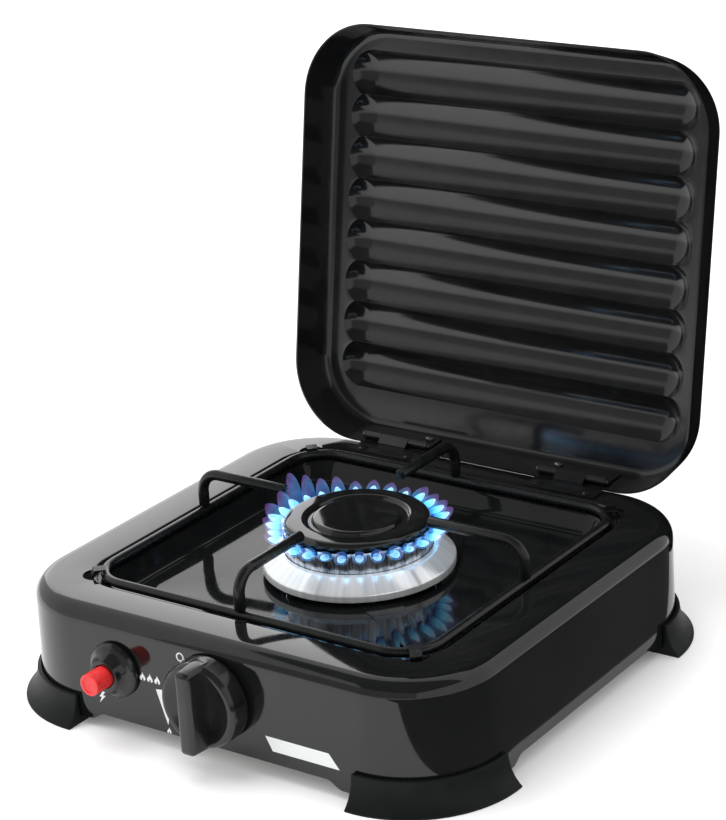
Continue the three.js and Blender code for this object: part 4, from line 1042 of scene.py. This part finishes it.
def press_lid():
    tray = lid_hollow()
    open_mesh(tray)
    bpy.ops.mesh.select_mode(type="EDGE")
    bpy.ops.mesh.select_non_manifold()
    bpy.ops.mesh.edge_face_add()
    close_mesh()
    clean(tray)
    floor = LID_RIM_Z + LID_DEPTH * MM
    first = PIN.y + (LID_BEHIND_PIN - 39.2) * MM
    for i in range(RIB_COUNT):
        cut_away(tray, rib_former(first - i * RIB_PITCH, floor), "UNION")
    open_mesh(tray)
    choose(tray, lambda p, n: p.z < LID_RIM_Z + 1e-5 and n.z < -0.9)
    bpy.ops.mesh.delete(type="FACE")
    close_mesh()
    fix(tray, "BEVEL", width=0.9 * MM, segments=4, limit_method="ANGLE",
        angle_limit=math.radians(22), use_clamp_overlap=True)  # fmt: skip
    fix(tray, "SOLIDIFY", thickness=LID_SHEET * MM, offset=1, use_even_offset=False)
    return tray


def swing_open(piece):
    """Turns a piece made on the closed lid to the open lid's place."""
    turn = Matrix.Rotation(-math.pi / 2 - LID_TILT, 4, "X")
    piece.data.transform(Matrix.Translation(PIN) @ turn @ Matrix.Translation(-PIN))


lid = press_lid()
swing_open(lid)
smooth(lid, 40)
fit(lid, "lid", LID_ENAMEL, ["lid_shell"])

# ---------------------------------------------------------------- controls

def mould_knob():
    """Round knob with a grip bar standing across it."""
    line = [
        (20, 0), (22.5, 0), (22.5, 2), (22.2, 9), (20.8, 11.4), (18.8, 11.5), (13, 8.3), (0, 7.4),
        (0, 5), (19.5, 5), (20, 0),
    ]  # fmt: skip
    line = round_off(line, [0.5, 0.3, 1.0, 1.6, 0.9, 3.0, 0.0, 0.0, 0.6], 6)
    knob = lathe("knob_disc", line, KNOB, "forward", 112)
    put_down()
    bpy.ops.mesh.primitive_cube_add(size=1, location=(KNOB.x, KNOB.y - 12.9 * MM, KNOB.z))
    bar = bpy.context.object
    bar.scale = (11 * MM, 17 * MM, 45 * MM)
    settle(bar)
    open_mesh(bar)
    choose(bar, lambda p, n: n.y < -0.9)
    bpy.ops.transform.resize(value=(0.78, 1, 0.965))
    close_mesh()
    soften(bar, 2.6, 6, 40)
    disc_face, front = (KNOB.x, KNOB.y - 4.4 * MM, KNOB.z), (KNOB.x, knob_low.y - 2 * MM, KNOB.z)
    cut_away(bar, drill("round", 22.4 * MM, disc_face, front, 112), "INTERSECT")
    cut_away(knob, bar, "UNION")
    rear, bore_end = (KNOB.x, KNOB.y + 2 * MM, KNOB.z), (KNOB.x, KNOB.y - 15.6 * MM, KNOB.z)
    cut_away(knob, drill("bore", 3.3 * MM, rear, bore_end, 32))
    knob.name = "knob_moulded"
    soften(knob, 0.5, 3, 45)
    return knob


knob = smooth(mould_knob(), 35)
fit(knob, "knob", CONTROL_PLASTIC, ["knob"])


def igniter_collar():
    line = [
        (8.3, 0), (14.6, 0), (14.6, 1.5), (13.4, 3.2), (11.2, 4.4), (9.2, 7.2), (8.3, 9.5),
        (6.1, 9.5), (6.1, 2.4), (8.3, 2.4), (8.3, 0),
    ]  # fmt: skip
    line = round_off(line, [0.3, 0.7, 0.8, 1.4, 1.4, 0.5, 0.4, 0.3, 0.3], 5)
    return lathe("igniter_collar_turned", line, IGNITER, "forward", 80)


fit(smooth(igniter_collar(), 45), "base", CONTROL_PLASTIC, ["piezo_collar"])


def push_button():
    depth = (button_high.y - button_low.y) / MM
    line = [
        (0, 0), (5.7, 0), (5.7, depth - 0.2), (5, depth), (4.2, depth), (3.6, depth - 0.5),
        (0, depth - 0.7),
    ]  # fmt: skip
    line = round_off(line, [0.4, 0.9, 0.3, 0.5, 0.6], 5)
    back = Vector((IGNITER.x, button_high.y, IGNITER.z))
    return lathe("igniter_button_turned", line, back, "forward", 64)


fit(smooth(push_button(), 40), "button", BUTTON_RED, ["piezo_button"])

# ---------------------------------------------------------------- print on the front panel

INK_THICKNESS = 0.05 * MM
WEDGE = [(-33, 31), (-24.6, 32.4), (-24.9, 22), (-26.8, 13.2), (-29.6, 21)]
SPARK = [
    (-67.2, 22.4), (-70.2, 18.2), (-68.6, 18.2), (-70.4, 14.8), (-66.2, 19.2), (-67.9, 19.2),
    (-65.6, 22.4),
]  # fmt: skip
LABEL = [(33, 22.5), (70, 22.5), (76, 15.2), (37, 15.2)]


def panel_y(z):
    """The front wall leans back a little towards the top."""
    return PANEL_Y + 0.7 * MM * (z - EDGE_Z * MM) / (46.9 * MM)


def print_patch(name, points):
    """A flat patch of ink on the front panel, from its outline of (x, z) in mm."""
    line = [(x * MM, panel_y(z * MM) - 0.02 * MM, z * MM) for x, z in points]
    patch = outline(name, line + line[:1])
    clean(patch)
    fill_and_draw(patch, (0, -INK_THICKNESS, 0))
    close_mesh()
    clean(patch)
    return patch


def flame_mark(x, z, size):
    """A small drop-shaped flame."""
    shape = [
        (0, 1), (0.16, 0.72), (0.36, 0.45), (0.42, 0.2), (0.32, 0.04), (0.12, -0.02),
        (0.14, 0.16), (0.02, 0.36), (-0.1, 0.18), (-0.1, -0.02), (-0.32, 0.05), (-0.42, 0.22),
        (-0.32, 0.5), (-0.1, 0.68),
    ]  # fmt: skip
    return print_patch("flame_mark", [(x + size * u, z + size * v) for u, v in shape])


def ring_mark(x, z, outer, inner):
    """A small open circle, printed as two half bands."""
    halves = []
    for start in (0, math.pi):
        turns = [start + math.pi * k / 14 for k in range(15)]
        edge = [(x + outer * math.cos(a), z + outer * math.sin(a)) for a in turns]
        edge += [(x + inner * math.cos(a), z + inner * math.sin(a)) for a in reversed(turns)]
        halves.append(print_patch("ring_mark", edge))
    return halves


marks = []
marks += ring_mark(-16.2, 52.2, 2.4, 1.6)
marks += [flame_mark(-41 + 4.6 * k, 34, 4.4) for k in range(3)]
marks.append(flame_mark(-26.5, 8.6, 3.2))
marks.append(print_patch("wedge_mark", WEDGE))
marks.append(print_patch("spark_mark", SPARK))
marks.append(print_patch("plain_label", LABEL))
markings = joined("panel_print", marks)
fit(markings, "base", PRINT)

# ---------------------------------------------------------------- flames

PORT_Z = head_high.z - 1.2 * MM


def flame_shape(name, length, width, rise, start):
    """One petal of flame at the port that faces +X: it runs outwards, then curls up at its tip."""
    line = [
        (0, 0), (0.45, 0.03), (0.74, 0.12), (0.93, 0.28), (1, 0.45), (0.92, 0.62), (0.7, 0.78),
        (0.36, 0.92), (0, 1),
    ]  # fmt: skip
    base = Vector((BURNER.x + start * MM, BURNER.y, PORT_Z))
    petal = lathe(name, [(r * width, z * length) for r, z in line], base, steps=14)
    reach = petal.data.attributes.new("reach", "FLOAT", "POINT")
    for vert, value in zip(petal.data.vertices, reach.data):
        t = (vert.co.z - base.z) / (length * MM)
        across = vert.co.x - base.x
        slope = math.atan2(rise * (0.3 + 1.4 * t), length)
        value.value = t
        vert.co.x = base.x + length * MM * (t - 0.12 * t * t) - across * math.sin(slope)
        vert.co.z = base.z + rise * MM * (0.3 * t + 0.7 * t * t) + across * math.cos(slope) * 0.85
    fix(petal, "SUBSURF", levels=1, render_levels=1)
    return petal


def flame_crown(name, length, width, rise, start, sway, drawn_up, glow):
    """A flame at each port, no two quite alike, drawn upwards on the left."""
    first = flame_shape(name, length, width, rise, start)
    port = Matrix.Translation((BURNER.x + start * MM, BURNER.y, PORT_Z))
    copies = []
    for k in range(PORTS):
        angle = 2 * math.pi * (k + 0.5) / PORTS
        wild = math.sin(k * 2.4) * 0.6 + math.sin(k * 5.1 + 1) * 0.4
        tall = 1 + sway * wild
        pull = 1 + drawn_up * math.exp(-(((angle - 2.95) / 0.42) ** 2))
        twin = copy_of(first, f"{name}_{k}")
        grow = Matrix.Diagonal((tall / pull**0.2, 1, tall * pull, 1))
        twin.data.transform(
            Matrix.Translation(BURNER)
            @ Matrix.Rotation(angle, 4, "Z")
            @ Matrix.Translation(-BURNER)
            @ port
            @ grow
            @ port.inverted()
        )
        copies.append(twin)
    bpy.data.objects.remove(first)
    crown = joined(name, copies)
    pick_up(crown)
    bpy.ops.object.shade_smooth()
    crown.data.materials.clear()
    crown.data.materials.append(glow)
    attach(crown, "base")
    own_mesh(crown)
    return crown


MANTLE_GLOW = flame_glow(
    "flame mantle", (0.005, 0.03, 0.25), (0.03, 0.26, 0.55), (0.30, 0.14, 0.55), 0.4, 0.4
)
CORE_GLOW = flame_glow(
    "flame core", (0.005, 0.05, 0.25), (0.10, 0.52, 0.72), (0.5, 0.85, 1.0), 0.85, 0.6
)
flame_crown("flame_mantle", 12.8, 3.9, 4.6, 38.2, 0.2, 2.6, MANTLE_GLOW)
flame_crown("flame_core", 10.4, 2.2, 2.2, 38.6, 0.16, 0.5, CORE_GLOW)

# ---------------------------------------------------------------- finishes on frame pieces

FRAME_FINISH = {
    "foot_screw": STEEL, "burner_screw": STEEL, "support_clip": DARK_STEEL, "burner_bowl": STEEL,
    "mixing_tube": STEEL, "valve_nut": STEEL, "spindle_spring": STEEL, "piezo_spring": STEEL,
    "piezo_nut": STEEL, "electrode_rod": STEEL, "hinge_pin": STEEL, "lid_rivet": STEEL,
    "body_rivet": LID_ENAMEL, "hinge_leaf": LID_ENAMEL, "valve_body": BRASS, "tap_plug": BRASS,
    "knob_spindle": BRASS, "gas_jet": BRASS, "gas_pipe": BRASS, "inlet_nut": BRASS,
    "hose_tail": BRASS,
    "piezo_body": CONTROL_PLASTIC, "electrode_ceramic": CERAMIC, "ignition_wire": INSULATION,
}  # fmt: skip
for name, node in NODES.items():
    if node.hide_render:
        continue
    finish = next(made for start, made in FRAME_FINISH.items() if name.startswith(start))
    node.data.materials.clear()
    node.data.materials.append(finish)

# ---------------------------------------------------------------- studio


def soft_light(name, place, aim, size, power):
    put_down()
    bpy.ops.object.light_add(type="AREA", location=place)
    lamp = bpy.context.object
    lamp.name = name
    lamp.data.shape = "RECTANGLE"
    lamp.data.size, lamp.data.size_y = size
    lamp.data.energy = power
    lamp.rotation_euler = (Vector(aim) - Vector(place)).to_track_quat("-Z", "Y").to_euler()
    return lamp


def dark_card(name, low, high, shade=0.0):
    """A flat card, seen only in reflections, that keeps the light off glossy sides."""
    put_down()
    bpy.ops.mesh.primitive_cube_add(size=1, location=(Vector(low) + Vector(high)) / 2)
    card = bpy.context.object
    card.name = name
    card.scale = Vector(high) - Vector(low)
    settle(card)
    made = Finish(name, (0, 0, 0), 1.0)
    made.shader.inputs["Specular IOR Level"].default_value = 0
    made.shader.inputs["Emission Color"].default_value = (shade, shade, shade, 1)
    made.shader.inputs["Emission Strength"].default_value = 1
    card.data.materials.append(made.material)
    card.visible_camera = card.visible_diffuse = False
    card.visible_shadow = card.visible_transmission = False
    return card


def studio_floor():
    put_down()
    bpy.ops.mesh.primitive_plane_add(size=80, location=(0, 0, 0))
    floor = bpy.context.object
    floor.name = "studio_floor"
    made = Finish("studio floor", (0.93, 0.93, 0.93), 0.75)
    made.tint(made.grain(60, 2), (0.925, 0.925, 0.925), (0.94, 0.94, 0.94))
    made.shader.inputs["Emission Color"].default_value = (1, 1, 1, 1)
    made.shader.inputs["Emission Strength"].default_value = 0.12
    floor.data.materials.append(made.material)


studio_floor()
world = bpy.data.worlds.new("studio")
bpy.context.scene.world = world
world.use_nodes = True
sky = world.node_tree.nodes["Background"]
sky.inputs["Color"].default_value = (1, 1, 1, 1)
sky.inputs["Strength"].default_value = 0.9
soft_light("back left bank", (-0.95, 1.15, 0.62), (0, 0, 0.05), (1.5, 0.9), 6.3)
top_bank = soft_light("top bank", (-0.35, -0.1, 1.3), (0, 0, 0), (1.0, 1.0), 10)
left_bank = soft_light("front left bank", (-1.1, -0.9, 0.75), (0, 0, 0.05), (0.7, 0.9), 5)
top_bank.visible_glossy = left_bank.visible_glossy = False
dark_card("card on the right", (0.150, -0.80, 0.0004), (1.2, 0.30, 0.0010), 0.1)
dark_card("card behind the lid", (-0.13, 0.20, 0.0004), (0.16, 0.201, 0.5))
dark_card("card overhead", (-0.95, -2.0, 1.5), (1.6, 0.25, 1.51), 0.12)
dark_card("card in front", (-1.45, -2.01, 0.12), (1.6, -2.0, 1.5), 0.4)
bpy.context.scene.view_settings.view_transform = "Standard"
bpy.context.scene.view_settings.look = "None"


def studio_camera():
    """Looks down on the front right corner, rolled slightly."""
    put_down()
    place = Vector((735.70, -1006.25, 612.70)) * MM + Vector((0, BODY_Y, 0))
    target = Vector((-212.07, 306.50, -3.5)) * MM + Vector((0, BODY_Y, 0))
    forward = (target - place).normalized()
    right = forward.cross(Vector((0, 0, 1))).normalized()
    up = right.cross(forward)
    roll = math.radians(-3.36)
    right, up = (
        right * math.cos(roll) + up * math.sin(roll),
        up * math.cos(roll) - right * math.sin(roll),
    )
    bpy.ops.object.camera_add(location=place)
    camera = bpy.context.object
    turn = Matrix((right, up, -forward)).transposed()
    camera.rotation_euler = turn.to_euler()
    camera.data.lens = 116.22
    camera.data.sensor_width = 36
    camera.data.sensor_fit = "AUTO"
    camera.data.clip_start = 0.05
    bpy.context.scene.camera = camera


studio_camera()
